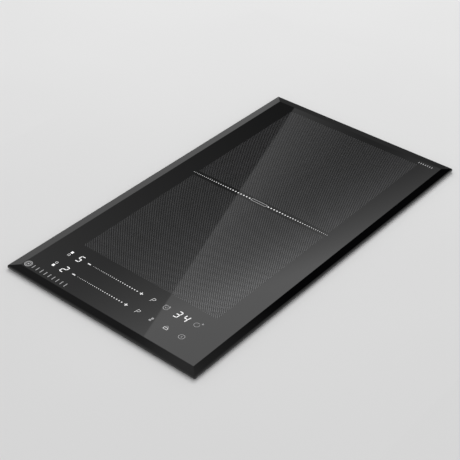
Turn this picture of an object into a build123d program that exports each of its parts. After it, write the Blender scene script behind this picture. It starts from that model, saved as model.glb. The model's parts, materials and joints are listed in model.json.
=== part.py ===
from build123d import *
import math
import os

os.makedirs("parts", exist_ok=True)

# Two-zone built-in induction cooktop, in millimetres.
# Origin: centre of the casing's underside. +X right, +Y to the back, +Z up; the touch keys are at -Y.

# ---- driving dimensions ----
glass_width = 292.0
glass_depth = 520.0
glass_thickness = 4.0
bevel_width = 11.5
bevel_drop = 0.5
gasket_thickness = 2.0
recess_depth = 50.0  # casing's underside to the worktop's surface
casing_width = 264.0
casing_depth = 480.0
sheet = 0.8  # steel sheet of the casing
notch_width = 24.0  # the casing's corners step in to leave room for the clamps
notch_depth = 20.0
front_zone_y = -74.0
rear_zone_y = 137.0
key_row_front = -221.5
key_row_rear = -196.0

glass_bottom = recess_depth + gasket_thickness
bevel_bottom = glass_bottom + glass_thickness - bevel_drop
zones = (front_zone_y, rear_zone_y)
corners = [(side, end) for end in (-1, 1) for side in (-1, 1)]

low = (Align.CENTER, Align.CENTER, Align.MIN)
high = (Align.CENTER, Align.CENTER, Align.MAX)


def outline(inset):
    """Corner points of the casing's notched outline, moved inwards by inset."""
    x = casing_width / 2 - inset
    y = casing_depth / 2 - inset
    step = [(x, y - notch_depth), (x - notch_width, y - notch_depth), (x - notch_width, y)]
    back = step + [(-px, py) for px, py in reversed(step)]
    return back + [(-px, -py) for px, py in back]


def block(x, y, z, mode=Mode.ADD):
    """A box between the limits x, y and z, each a (lowest, highest) pair."""
    with Locations([((x[0] + x[1]) / 2, (y[0] + y[1]) / 2, (z[0] + z[1]) / 2)]):
        Box(x[1] - x[0], y[1] - y[0], z[1] - z[0], mode=mode)


def write_piece(piece, name):
    """Label one finished piece and write its STEP file."""
    piece.label = name
    export_step(piece, f"parts/{name}.step")


# ---- glass plate: flat slab with a wide, shallow, mitred bevel round its top ----
with BuildPart() as glass_plate:
    with BuildSketch(Plane.XY.offset(glass_bottom)):
        Rectangle(glass_width, glass_depth)
    extrude(amount=glass_thickness - bevel_drop)
    with BuildSketch(Plane.XY.offset(bevel_bottom)):
        Rectangle(glass_width, glass_depth)
    with BuildSketch(Plane.XY.offset(glass_bottom + glass_thickness)):
        Rectangle(glass_width - 2 * bevel_width, glass_depth - 2 * bevel_width)
    loft(ruled=True)
write_piece(glass_plate.part, "glass_plate")

# ---- sealing gasket: foam tape under the glass's edge, resting on the worktop ----
gasket_inset = 3.0
gasket_width = 8.0
with BuildPart() as sealing_gasket:
    with BuildSketch(Plane.XY.offset(recess_depth)):
        Rectangle(glass_width - 2 * gasket_inset, glass_depth - 2 * gasket_inset)
        taped = gasket_inset + gasket_width
        Rectangle(glass_width - 2 * taped, glass_depth - 2 * taped, mode=Mode.SUBTRACT)
    extrude(amount=gasket_thickness)
write_piece(sealing_gasket.part, "sealing_gasket")

# ---- support frame: folded steel angle, its top leaf bonded to the glass ----
frame_gap = 0.2
frame_sheet = 1.0
leaf_width = 7.0
frame_foot = 38.0
adhesive = 1.0
frame_top = glass_bottom - adhesive
frame_inset = sheet + frame_gap
leaf_gap = 0.5  # the bead stays this far inside the leaf's edges
screw_level = 44.0
side_screw_ys = (-150.0, 0.0, 150.0)
end_screw_xs = (-60.0, 60.0)
tapped_radius = 1.5
side_holes = [
    Plane(origin=(side * casing_width / 2, y, screw_level), z_dir=(side, 0, 0))
    for side in (-1, 1)
    for y in side_screw_ys
]
end_holes = [
    Plane(origin=(x, end * casing_depth / 2, screw_level), z_dir=(0, end, 0))
    for end in (-1, 1)
    for x in end_screw_xs
]
wall_holes = side_holes + end_holes

with BuildPart() as support_frame:
    with BuildSketch(Plane.XY.offset(frame_foot)):
        Polygon(*outline(frame_inset), align=None)
        Polygon(*outline(frame_inset + frame_sheet), align=None, mode=Mode.SUBTRACT)
    extrude(amount=frame_top - frame_foot)
    with BuildSketch(Plane.XY.offset(frame_top - frame_sheet)):
        Polygon(*outline(frame_inset), align=None)
        Polygon(*outline(frame_inset + leaf_width), align=None, mode=Mode.SUBTRACT)
    extrude(amount=frame_sheet)
    with Locations(*wall_holes):
        Cylinder(tapped_radius, 8 * frame_sheet, mode=Mode.SUBTRACT)
write_piece(support_frame.part, "support_frame")

with BuildPart() as glass_adhesive:
    with BuildSketch(Plane.XY.offset(frame_top)):
        Polygon(*outline(frame_inset + leaf_gap), align=None)
        Polygon(*outline(frame_inset + leaf_width - leaf_gap), align=None, mode=Mode.SUBTRACT)
    extrude(amount=adhesive)
write_piece(glass_adhesive.part, "glass_adhesive")

# ---- bottom casing: deep sheet tray with vents, open at the back for the rear panel ----
casing_height = 49.0
panel_half = casing_width / 2 - notch_width - sheet
rear_wall = (casing_depth / 2 - sheet, casing_depth / 2)
flange_depth = 8.0
flange_top = 36.0
fan_x = -72.0
fan_y = -128.0
fan_inlet = 27.0
inlet_pitch = 6.4
inlet_rows = 9
inlet_border = 2.0
slot_width = 3.2
slot_pitch = 9.0
floor_slots = (58.0, -204.0)  # middle of the row of slots in the floor
floor_slot_count = 10
floor_slot_length = 24.0
wall_slot_z = 20.0
wall_slot_count = 20
wall_slot_length = 18.0
cable_x = 16.0
cable_z = 14.0
grommet_neck = 6.5
window_x = (36.0, 98.0)
window_z = (5.0, 28.5)
hinge_y = casing_depth / 2 + 2.2
hinge_z = 34.0
knuckle = 2.0
pin_radius = 0.9
casing_knuckle_x = (54.4, 79.6)
wall_hole = 1.8

with BuildPart() as bottom_casing:
    with BuildSketch():
        Polygon(*outline(0), align=None)
    extrude(amount=casing_height)
    with BuildSketch(Plane.XY.offset(sheet)):
        Polygon(*outline(sheet), align=None)
    extrude(amount=casing_height, mode=Mode.SUBTRACT)
    # air inlet below the fan: slots that fill a circle
    with BuildSketch():
        for row in range(-(inlet_rows // 2), inlet_rows // 2 + 1):
            half = math.sqrt((fan_inlet + inlet_border) ** 2 - (row * inlet_pitch) ** 2)
            with Locations((fan_x, fan_y + row * inlet_pitch)):
                SlotOverall(2 * half, slot_width)
    extrude(amount=sheet, mode=Mode.SUBTRACT)
    # air outlets in the floor near the front and through the front wall
    with BuildSketch():
        with Locations(floor_slots):
            with GridLocations(slot_pitch, 1.0, floor_slot_count, 1):
                SlotOverall(floor_slot_length, slot_width, rotation=90)
    extrude(amount=sheet, mode=Mode.SUBTRACT)
    with BuildSketch(Plane(origin=(0, -casing_depth / 2, wall_slot_z), x_dir=(1, 0, 0), z_dir=(0, -1, 0))):
        with GridLocations(slot_pitch, 1.0, wall_slot_count, 1):
            SlotOverall(wall_slot_length, slot_width, rotation=90)
    extrude(amount=-sheet, mode=Mode.SUBTRACT)
    with Locations(*wall_holes):
        Cylinder(wall_hole, 4 * sheet, mode=Mode.SUBTRACT)
    # the back stays open between the rear corners, down to the floor
    block((-panel_half, panel_half), rear_wall, (sheet, casing_height), mode=Mode.SUBTRACT)
write_piece(bottom_casing.part, "bottom_casing")

# ---- rear panel: sheet welded into the casing's open back by its side flanges ----
with BuildPart() as rear_panel:
    block((-panel_half, panel_half), rear_wall, (sheet, casing_height))
    for side in (-1, 1):
        with Locations((side * (panel_half - sheet / 2), rear_wall[0], sheet)):
            Box(sheet, flange_depth, flange_top - sheet, align=(Align.CENTER, Align.MAX, Align.MIN))
    # terminal window, cable hole and screw holes
    block(window_x, rear_wall, window_z, mode=Mode.SUBTRACT)
    with Locations(Plane(origin=(cable_x, casing_depth / 2, cable_z), z_dir=(0, 1, 0))):
        Cylinder(grommet_neck, 4 * sheet, mode=Mode.SUBTRACT)
    with Locations(*end_holes):
        Cylinder(wall_hole, 4 * sheet, mode=Mode.SUBTRACT)
    # rolled knuckle of the terminal cover's hinge
    block(casing_knuckle_x, (casing_depth / 2, hinge_y), (hinge_z - knuckle / 2, hinge_z + knuckle / 2))
    knuckle_middle = sum(casing_knuckle_x) / 2
    knuckle_length = casing_knuckle_x[1] - casing_knuckle_x[0]
    with Locations(Plane(origin=(knuckle_middle, hinge_y, hinge_z), z_dir=(1, 0, 0))):
        Cylinder(knuckle, knuckle_length)
        Cylinder(pin_radius, knuckle_length, mode=Mode.SUBTRACT)
write_piece(rear_panel.part, "rear_panel")

# ---- screws that join the casing to the support frame ----
casing_head = 3.2
casing_head_height = 1.8
casing_shank = 5.0
cross_depth = 0.8
cross_arm = (3.6, 0.8)
with BuildPart() as casing_screws:
    with Locations(*wall_holes):
        Cylinder(casing_head, casing_head_height, align=low)
        Cylinder(tapped_radius, casing_shank, align=high)
    with Locations(*[plane.offset(casing_head_height - cross_depth) for plane in wall_holes]):
        Box(cross_arm[0], cross_arm[1], casing_head_height, align=low, mode=Mode.SUBTRACT)
        Box(cross_arm[1], cross_arm[0], casing_head_height, align=low, mode=Mode.SUBTRACT)
write_piece(casing_screws.part, "casing_screws")


# ---- coil plate: aluminium shield that carries both coils and the touch unit ----
plate_bottom = 31.5
plate_thickness = 1.5
plate_top = plate_bottom + plate_thickness
plate_inset = 4.0
post_spots = [(side * 124.5, y) for side in (-1, 1) for y in (-205.0, -40.0, 110.0, 205.0)]
post_size = 7.0
post_hole = 1.55
post_hole_depth = 10.0
lead_radius = 1.6
winding_end_x = (42.8, 98.0)  # inner and outer end of each winding, on the zone's centre line
lead_spots = [(x, y) for x in winding_end_x for y in zones]
ribbon_x = 60.0
ribbon_width = 16.0
ribbon_y = -203.0
ribbon_slot_margin = 6.0
centre_hole = 9.0  # below each temperature sensor
spring_x = 80.0
spring_y = 70.0
spring_spots = [(sx * spring_x, y + sy * spring_y) for y in zones for sx in (-1, 1) for sy in (-1, 1)]

with BuildPart() as coil_plate:
    with BuildSketch(Plane.XY.offset(plate_bottom)):
        Polygon(*outline(plate_inset), align=None)
        with Locations(*post_spots):
            Circle(wall_hole, mode=Mode.SUBTRACT)
        with Locations(*lead_spots):
            Circle(2 * lead_radius, mode=Mode.SUBTRACT)
        with Locations(*[(0, y) for y in zones]):
            Circle(centre_hole, mode=Mode.SUBTRACT)
        with Locations((ribbon_x, ribbon_y)):
            SlotOverall(ribbon_width + ribbon_slot_margin, ribbon_slot_margin, mode=Mode.SUBTRACT)
    extrude(amount=plate_thickness)
write_piece(coil_plate.part, "coil_plate")

with BuildPart() as coil_plate_standoffs:
    with BuildSketch(Plane.XY.offset(sheet)):
        with Locations(*post_spots):
            RegularPolygon(post_size / 2, 6, major_radius=False)
    extrude(amount=plate_bottom - sheet)
    with Locations(*[(x, y, plate_bottom) for x, y in post_spots]):
        Cylinder(post_hole, post_hole_depth, align=high, mode=Mode.SUBTRACT)
write_piece(coil_plate_standoffs.part, "coil_plate_standoffs")

# ---- coils: one flat rounded-rectangular spiral of litz wire above each zone's former ----
turns = 12
pitch = 4.6
litz_width = 3.8
litz_height = 3.0
winding_bottom = 46.5
coil_half_x = winding_end_x[1]
coil_half_y = 88.0
outer_bend = 62.0


def winding_path(y):
    """Corner points and bend radii of a rectangular spiral that closes in by one pitch a turn."""
    points = [(coil_half_x, y)]
    bends = []
    for corner in range(4 * turns):
        here = pitch * corner / 4
        following = pitch * (corner + 1) / 4
        along_x = corner % 2 == 1
        reach_x = coil_half_x - (following if along_x else here)
        reach_y = coil_half_y - (here if along_x else following)
        sign_x = 1 if corner % 4 in (0, 3) else -1
        sign_y = 1 if corner % 4 in (0, 1) else -1
        points.append((sign_x * reach_x, y + sign_y * reach_y))
        bends.append(outer_bend - pitch * (corner + 0.5) / 4)
    points.append((coil_half_x - pitch * turns, y))
    return points, bends


for name, zone_y in (("front_coil_winding", front_zone_y), ("rear_coil_winding", rear_zone_y)):
    corner_points, bend_radii = winding_path(zone_y)
    with BuildPart() as winding:
        with BuildLine(Plane.XY.offset(winding_bottom + litz_height / 2)):
            FilletPolyline(*corner_points, radius=bend_radii)
        start = Plane(origin=(coil_half_x, zone_y, winding_bottom + litz_height / 2),
                      x_dir=(1, 0, 0), z_dir=(0, 1, 0))
        with BuildSketch(start):
            Rectangle(litz_width, litz_height)
        sweep()
    write_piece(winding.part, name)

former_bottom = 44.5
former_thickness = winding_bottom - former_bottom
former_size = (206.0, 192.0)
former_corner = 34.0
sensor_radius = 8.6
sensor_gap = 0.4
lead_gap = 0.6
spring_seat = (3.6, 2.0)  # radius and height of the peg inside each spring
with BuildPart() as coil_formers:
    with BuildSketch(Plane.XY.offset(former_bottom)):
        for zone_y in zones:
            with Locations((0, zone_y)):
                RectangleRounded(*former_size, former_corner)
                Circle(sensor_radius + sensor_gap, mode=Mode.SUBTRACT)
            with Locations(*[(x, zone_y) for x in winding_end_x]):
                Circle(lead_radius + lead_gap, mode=Mode.SUBTRACT)
    extrude(amount=former_thickness)
    # seats that centre the springs
    with Locations(*[(x, y, former_bottom) for x, y in spring_spots]):
        Cylinder(*spring_seat, align=high)
write_piece(coil_formers.part, "coil_formers")

# ferrite bars under each former, between the centre lines so that the leads pass
ferrite_length = 54.0
ferrite_width = 14.0
ferrite_height = 3.4
ferrite_count = 8
ferrite_ring = 60.0
with BuildPart() as ferrite_bars:
    for zone_y in zones:
        with Locations((0, zone_y, former_bottom)):
            with PolarLocations(ferrite_ring, ferrite_count, start_angle=180 / ferrite_count):
                Box(ferrite_length, ferrite_width, ferrite_height, align=high)
write_piece(ferrite_bars.part, "ferrite_bars")

insulation_bottom = 49.6
insulation_thickness = 0.8
insulation_size = (196.0, 184.0)
insulation_corner = 20.0
with BuildPart() as insulation_sheets:
    with BuildSketch(Plane.XY.offset(insulation_bottom)):
        with Locations(*[(0, y) for y in zones]):
            RectangleRounded(*insulation_size, insulation_corner)
            Circle(sensor_radius + lead_gap, mode=Mode.SUBTRACT)
    extrude(amount=insulation_thickness)
write_piece(insulation_sheets.part, "insulation_sheets")

sensor_top = glass_bottom - 0.1
sensor_flange = (11.0, 1.5)
sensor_body_height = 6.3
sensor_nose = 6.0
sensor_bore = 2.0
thermistor = (2.6, 1.5)
with BuildPart() as temperature_sensors:
    with Locations(*[(0, y, former_bottom) for y in zones]):
        Cylinder(*sensor_flange, align=high)
        Cylinder(sensor_radius, sensor_body_height, align=low)
        Cylinder(sensor_nose, sensor_top - former_bottom, align=low)
        Cylinder(sensor_bore, 3 * sensor_body_height, mode=Mode.SUBTRACT)
        with Locations((0, 0, sensor_top - former_bottom - thermistor[1])):
            Cylinder(*thermistor, align=low)
write_piece(temperature_sensors.part, "temperature_sensors")

# float springs that press the coils up against the glass
wire = 0.6
spring_radius = 5.0
spring_pitch = 2.4
spring_clearance = 0.1
spring_height = former_bottom - plate_top - 2 * (wire + spring_clearance)
with BuildPart() as one_spring:
    with BuildLine():
        coil_line = Helix(pitch=spring_pitch, height=spring_height, radius=spring_radius,
                          center=(0, 0, plate_top + wire + spring_clearance))
    with BuildSketch(Plane(origin=coil_line @ 0, z_dir=coil_line % 0)):
        Circle(wire)
    sweep(is_frenet=True)
with BuildPart() as coil_springs:
    with Locations(*spring_spots):
        add(one_spring.part)
write_piece(coil_springs.part, "coil_springs")

# ---- board carrier: moulded tray that holds the fan, the heat sink and both boards ----
carrier_top = 2.8
carrier_wall = 1.5
carrier_rim = 12.0
carrier_x = 119.5
carrier_ys = (-178.0, 132.0, 216.0)  # front, step and back of its plan
carrier_step_x = -2.0
carrier_cut = 14.0
board_bottom = 7.0
board_thickness = 1.6
board_top = board_bottom + board_thickness
boss_size = 4.0
boss_hole_depth = 5.0
board_holes = [(-16.0, -164.0), (110.0, -164.0), (110.0, -20.0), (110.0, 114.0), (-40.0, 114.0),
               (30.0, 114.0)]
filter_holes = [(-110.0, 147.0), (-14.0, 147.0), (-97.0, 207.5), (-14.0, 207.5)]


def carrier_outline(inset):
    """Corner points of the carrier's plan, moved inwards by inset."""
    side = carrier_x - inset
    front, step, back = [y + sign * inset for y, sign in zip(carrier_ys, (1, -1, -1))]
    middle = carrier_step_x - inset
    return [(-side, front), (side, front), (side, step), (middle, step),
            (middle, back), (carrier_cut - side, back), (-side, back - carrier_cut)]


with BuildPart() as board_carrier:
    with BuildSketch(Plane.XY.offset(sheet)):
        Polygon(*carrier_outline(0), align=None)
    extrude(amount=carrier_rim - sheet)
    with BuildSketch(Plane.XY.offset(carrier_top)):
        Polygon(*carrier_outline(carrier_wall), align=None)
    extrude(amount=carrier_rim, mode=Mode.SUBTRACT)
    with Locations((fan_x, fan_y, sheet)):
        Cylinder(fan_inlet + 2 * carrier_wall, carrier_top, align=low, mode=Mode.SUBTRACT)
    with Locations(*[(x, y, carrier_top) for x, y in board_holes + filter_holes]):
        Cylinder(boss_size, board_bottom - carrier_top, align=low)
    with Locations(*[(x, y, board_bottom) for x, y in board_holes + filter_holes]):
        Cylinder(post_hole, boss_hole_depth, align=high, mode=Mode.SUBTRACT)
write_piece(board_carrier.part, "board_carrier")

# ---- power board and its components ----
board_edge = [(-21, -170), (116, -170), (116, 122), (-45, 122), (-45, -78), (-21, -78)]
with BuildPart() as power_board:
    with BuildSketch(Plane.XY.offset(board_bottom)):
        with BuildLine():
            Polyline(*board_edge, close=True)
        make_face()
        with Locations(*board_holes):
            Circle(wall_hole, mode=Mode.SUBTRACT)
    extrude(amount=board_thickness)
write_piece(power_board.part, "power_board")

resonant_spots = [(4.0, y) for y in (-40.0, -22.0, -4.0, 14.0)]
resonant_size = (32.0, 14.0, 20.0)
link_spots = [(56.0, -52.0), (56.0, -14.0)]
link_size = (42.0, 24.0, 21.0)
with BuildPart() as film_capacitors:
    with Locations(*[(x, y, board_top) for x, y in resonant_spots]):
        Box(*resonant_size, align=low)
    with Locations(*[(x, y, board_top) for x, y in link_spots]):
        Box(*link_size, align=low)
    fillet(film_capacitors.edges().filter_by(Axis.Z), radius=1.2)
write_piece(film_capacitors.part, "film_capacitors")

can_spots = [(102.0, y) for y in (20.0, 40.0, 60.0)]
can_size = (8.0, 21.0)
with BuildPart() as electrolytic_capacitors:
    with Locations(*[(x, y, board_top) for x, y in can_spots]):
        Cylinder(*can_size, align=low)
    fillet(electrolytic_capacitors.edges().filter_by(GeomType.CIRCLE).group_by(Axis.Z)[-1], radius=1.0)
write_piece(electrolytic_capacitors.part, "electrolytic_capacitors")

# each coil's current is sensed by a ring transformer standing on the board
ring_spots = [(4.0, 50.0), (4.0, 80.0)]
ring_block = (20.0, 12.0, 18.0)
ring_hole = (10.0, 3.0)  # height and radius
with BuildPart() as current_transformers:
    with Locations(*[(x, y, board_top) for x, y in ring_spots]):
        Box(*ring_block, align=low)
        with Locations((0, 0, ring_hole[0])):
            Cylinder(ring_hole[1], ring_block[1], rotation=(90, 0, 0), mode=Mode.SUBTRACT)
write_piece(current_transformers.part, "current_transformers")

# small supply transformer: core legs round a wound bobbin
bobbin_foot = (26.0, 24.0, 3.0)
core_size = (22.0, 8.0, 16.0)
bobbin_winding = (9.0, 11.0)
bobbin_top = (22.0, 18.0, 2.0)
with BuildPart() as flyback_transformer:
    with Locations((58.0, 78.0, board_top)):
        Box(*bobbin_foot, align=low)
        with Locations((0, 0, bobbin_foot[2])):
            Box(*core_size, align=low)
            Cylinder(*bobbin_winding, align=low)
        with Locations((0, 0, bobbin_foot[2] + bobbin_winding[1])):
            Box(*bobbin_top, align=low)
write_piece(flyback_transformer.part, "flyback_transformer")

# ---- heat sink with its power semiconductors clamped to the side wall ----
sink_x = (-116.0, -46.0)
sink_y = (-78.0, 92.0)
sink_top = 29.0
sink_base = 4.0
sink_wall = 4.0
fin_count = 12
fin_thickness = 1.6
with BuildPart() as heat_sink:
    block(sink_x, sink_y, (carrier_top, carrier_top + sink_base))
    block((sink_x[1] - sink_wall, sink_x[1]), sink_y, (carrier_top, sink_top))
    fin_room = sink_x[1] - sink_wall - sink_x[0] - fin_thickness
    for fin in range(fin_count):
        fin_left = sink_x[0] + fin_room * fin / fin_count
        block((fin_left, fin_left + fin_thickness), sink_y, (carrier_top, sink_top))
write_piece(heat_sink.part, "heat_sink")

transistor_ys = (-56.0, -28.0, 0.0, 28.0)
package_x = (sink_x[1], sink_x[1] + 5.0)
package_z = (10.0, 28.0)
leg_x = (sink_x[1] + 2.0, sink_x[1] + 2.8)
package_half = 8.0
leg_half = 0.6
dimple = (1.8, 1.0)
dimple_z = 23.0
with BuildPart() as power_transistors:
    for y in transistor_ys:
        block(package_x, (y - package_half, y + package_half), package_z)
        for leg in (-5.4, 0, 5.4):
            block(leg_x, (y + leg - leg_half, y + leg + leg_half), (board_top, package_z[0]))
    with Locations(*[Plane(origin=(package_x[1], y, dimple_z), z_dir=(1, 0, 0)) for y in transistor_ys]):
        Cylinder(*dimple, align=high, mode=Mode.SUBTRACT)
write_piece(power_transistors.part, "power_transistors")

rectifier_y = 64.0
rectifier_half = 15.0
rectifier_leg_half = 0.7
with BuildPart() as bridge_rectifier:
    block(package_x, (rectifier_y - rectifier_half, rectifier_y + rectifier_half), package_z)
    for leg in (-10.5, -3.5, 3.5, 10.5):
        leg_y = rectifier_y + leg
        block(leg_x, (leg_y - rectifier_leg_half, leg_y + rectifier_leg_half), (board_top, package_z[0]))
write_piece(bridge_rectifier.part, "bridge_rectifier")

# the duct is an angle: a lid over the fins and one side wall
duct_x = (-118.0, sink_x[1])
duct_y = (-81.5, 96.0)
duct_top = 30.8
duct_wall = 1.2
with BuildPart() as air_duct:
    block(duct_x, duct_y, (duct_top - duct_wall, duct_top))
    block((duct_x[0], duct_x[0] + duct_wall), duct_y, (carrier_top, duct_top))
write_piece(air_duct.part, "air_duct")

# ---- mains filter board ----
filter_edge = [(-116, 141), (-8, 141), (-8, 213), (-101, 213), (-116, 198)]
with BuildPart() as filter_board:
    with BuildSketch(Plane.XY.offset(board_bottom)):
        with BuildLine():
            Polyline(*filter_edge, close=True)
        make_face()
        with Locations(*filter_holes):
            Circle(wall_hole, mode=Mode.SUBTRACT)
    extrude(amount=board_thickness)
write_piece(filter_board.part, "filter_board")

choke_spot = (-86.0, 177.0)
choke_radii = (11.0, 19.0)
choke_height = 14.0
choke_lift = 1.5
choke_ring = sum(choke_radii) / 2
choke_turns = 9
choke_turn = (10.6, 2.2, choke_height + 2 * choke_lift)
with BuildPart() as filter_choke:
    with Locations((*choke_spot, board_top)):
        with Locations((0, 0, choke_lift)):
            Cylinder(choke_radii[1], choke_height, align=low)
            Cylinder(choke_radii[0], choke_height, align=low, mode=Mode.SUBTRACT)
        for first_turn in (25, 205):
            with PolarLocations(choke_ring, choke_turns, start_angle=first_turn, angular_range=130):
                Box(*choke_turn, align=low)
write_piece(filter_choke.part, "filter_choke")

line_capacitor = (30.0, 14.0, 20.0)
earth_capacitor = (14.0, 5.0, 12.0)
with BuildPart() as filter_capacitors:
    with Locations(*[(-42.0, y, board_top) for y in (156.0, 198.0)]):
        Box(*line_capacitor, align=low)
    with Locations(*[(-42.0, y, board_top) for y in (172.0, 181.0)]):
        Box(*earth_capacitor, align=low)
    fillet(filter_capacitors.edges().filter_by(Axis.Z), radius=0.8)
write_piece(filter_capacitors.part, "filter_capacitors")

# ---- radial fan: housing, cover with stator, shaft and impeller ----
fan_side = 92.0
fan_floor = 2.0
fan_wall_top = 26.8
cover_top = 28.8
fan_corner = 5.0
scroll_radius = 40.0
outlet_edge = fan_x + 4.0
fan_screw_reach = 41.5
fan_screw_spots = [(fan_x + sx * fan_screw_reach, fan_y + sy * fan_screw_reach) for sx, sy in corners]
with BuildPart() as fan_housing:
    with BuildSketch(Plane.XY.offset(carrier_top)):
        with Locations((fan_x, fan_y)):
            RectangleRounded(fan_side, fan_side, fan_corner)
    extrude(amount=fan_wall_top - carrier_top)
    with Locations((fan_x, fan_y, carrier_top + fan_floor)):
        Cylinder(scroll_radius, fan_side, align=low, mode=Mode.SUBTRACT)
    outlet_z = (carrier_top + fan_floor, fan_side)
    block((fan_x - scroll_radius, outlet_edge), (fan_y, fan_y + fan_side), outlet_z, mode=Mode.SUBTRACT)
    with Locations((fan_x, fan_y, carrier_top)):
        Cylinder(fan_inlet, fan_floor, align=low, mode=Mode.SUBTRACT)
    with Locations(*[(x, y, carrier_top) for x, y in fan_screw_spots]):
        Cylinder(wall_hole, fan_side, align=low, mode=Mode.SUBTRACT)
write_piece(fan_housing.part, "fan_housing")

bush_radius = 1.55
shaft_radius = 1.5
with BuildPart() as fan_cover:
    with BuildSketch(Plane.XY.offset(fan_wall_top)):
        with Locations((fan_x, fan_y)):
            RectangleRounded(fan_side, fan_side, fan_corner)
        with Locations(*fan_screw_spots):
            Circle(wall_hole, mode=Mode.SUBTRACT)
    extrude(amount=cover_top - fan_wall_top)
write_piece(fan_cover.part, "fan_cover")

stator_top = fan_wall_top
stator_z = (12.0, 23.0)
stator_height = stator_z[1] - stator_z[0]
stator_poles = 4
pole_arm = (9.0, 4.0)
pole_shoe = (3.0, 11.0)
with BuildPart() as fan_stator:
    with Locations((fan_x, fan_y, stator_z[0])):
        Cylinder(4.0, stator_top - stator_z[0], align=low)
        with PolarLocations(7.0, stator_poles):
            Box(*pole_arm, stator_height, align=low)
        with PolarLocations(12.0, stator_poles):
            Box(*pole_shoe, stator_height, align=low)
        Cylinder(bush_radius, stator_top, align=low, mode=Mode.SUBTRACT)
write_piece(fan_stator.part, "fan_stator")

hub_radius = 17.5
hub_wall = 1.2
blade_tip = 37.0
blade_count = 31
blade_z = (7.0, 24.5)
blade_ring = 32.0
blade_size = (9.4, 0.9)
blade_angle = 28.0
tip_ring = 2.5
hub_bottom = 8.0
hub_floor = 1.5
with BuildPart() as fan_impeller:
    with Locations((fan_x, fan_y, hub_bottom)):
        Cylinder(hub_radius, blade_z[1] - hub_bottom, align=low)
        with Locations((0, 0, hub_floor)):
            Cylinder(hub_radius - hub_wall, blade_z[1] - hub_bottom, align=low, mode=Mode.SUBTRACT)
    with BuildSketch(Plane.XY.offset(blade_z[1] - hub_wall)):
        with Locations((fan_x, fan_y)):
            Circle(blade_tip)
            Circle(hub_radius - hub_wall / 2, mode=Mode.SUBTRACT)
    extrude(amount=hub_wall)
    with BuildSketch(Plane.XY.offset(blade_z[0])):
        with Locations((fan_x, fan_y)):
            Circle(blade_tip)
            Circle(blade_tip - tip_ring, mode=Mode.SUBTRACT)
    extrude(amount=hub_wall)
    with BuildSketch(Plane.XY.offset(blade_z[0])):
        with Locations((fan_x, fan_y)):
            with PolarLocations(blade_ring, blade_count):
                Rectangle(*blade_size, rotation=blade_angle)
    extrude(amount=blade_z[1] - blade_z[0])
    with Locations((fan_x, fan_y, hub_bottom)):
        Cylinder(shaft_radius, 2 * hub_floor, align=low, mode=Mode.SUBTRACT)
write_piece(fan_impeller.part, "fan_impeller")

shaft_length = 18.3
shaft_chamfer = 0.3
with BuildPart() as fan_shaft:
    with Locations((fan_x, fan_y, hub_bottom)):
        Cylinder(shaft_radius, shaft_length, align=low)
    chamfer(fan_shaft.edges(), length=shaft_chamfer)
write_piece(fan_shaft.part, "fan_shaft")

# ---- touch unit: holder, board, touch pads, digit displays and slider light guides ----
holder_x = 104.0
holder_y = (-233.0, -183.0)
holder_floor = (42.5, 44.0)
holder_wall = 1.5
holder_top = 48.0
holder_leg = 4.0
leg_xs = (-92.0, 92.0)
leg_ys = (-226.0, -190.0)
slot_half = 3.0
slot_end = 2.0
board_gap = 2.0
touch_board_z = (44.0, 45.6)
with BuildPart() as control_holder:
    block((-holder_x, holder_x), holder_y, (holder_floor[0], holder_top))
    inside_x = (holder_wall - holder_x, holder_x - holder_wall)
    inside_y = (holder_y[0] + holder_wall, holder_y[1] - holder_wall)
    block(inside_x, inside_y, (holder_floor[1], holder_top + 1), mode=Mode.SUBTRACT)
    with Locations(*[(x, y, plate_top) for x in leg_xs for y in leg_ys]):
        Cylinder(holder_leg, holder_floor[0] - plate_top, align=low)
    slot_y = (ribbon_y - slot_half, ribbon_y + slot_half)
    ribbon_slot = (ribbon_x - ribbon_width / 2 - slot_end, ribbon_x + ribbon_width / 2 + slot_end)
    block(ribbon_slot, slot_y, holder_floor, mode=Mode.SUBTRACT)
write_piece(control_holder.part, "control_holder")

with BuildPart() as touch_board:
    block((board_gap - holder_x, holder_x - board_gap), (holder_y[0] + board_gap, holder_y[1] - board_gap),
          touch_board_z)
write_piece(touch_board.part, "touch_board")

slider_x = -31.5
slider_length = 72.0
key_spots = [(-73.2, key_row_front), (10.2, key_row_front), (28.2, key_row_front), (48.9, key_row_front),
             (-73.2, key_row_rear), (10.2, key_row_rear), (28.2, key_row_rear), (48.4, key_row_rear),
             (94.5, key_row_rear), (71.3, key_row_front), (94.0, key_row_front)]
pad_radii = (2.6, 4.2)
with BuildPart() as touch_pads:
    with Locations(*[(x, y, touch_board_z[1]) for x, y in key_spots]):
        Cylinder(pad_radii[1], sensor_top - touch_board_z[1], align=low)
        Cylinder(pad_radii[0], sensor_top - touch_board_z[1], align=low, mode=Mode.SUBTRACT)
write_piece(touch_pads.part, "touch_pads")

digit_spots = [(-88.2, key_row_front), (-88.2, key_row_rear), (66.3, key_row_rear), (79.0, key_row_rear)]
display_size = (10.0, 14.0, 5.6)
with BuildPart() as display_modules:
    with Locations(*[(x, y, touch_board_z[1]) for x, y in digit_spots]):
        Box(*display_size, align=low)
write_piece(display_modules.part, "display_modules")

guide_side = 6.0
guide_corner = 2.0
with BuildPart() as slider_light_guides:
    with Locations(*[(slider_x, y, touch_board_z[1]) for y in (key_row_front, key_row_rear)]):
        Box(slider_length, guide_side, guide_side, align=low)
    fillet(slider_light_guides.edges().filter_by(Axis.Z), radius=guide_corner)
write_piece(slider_light_guides.part, "slider_light_guides")

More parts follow.
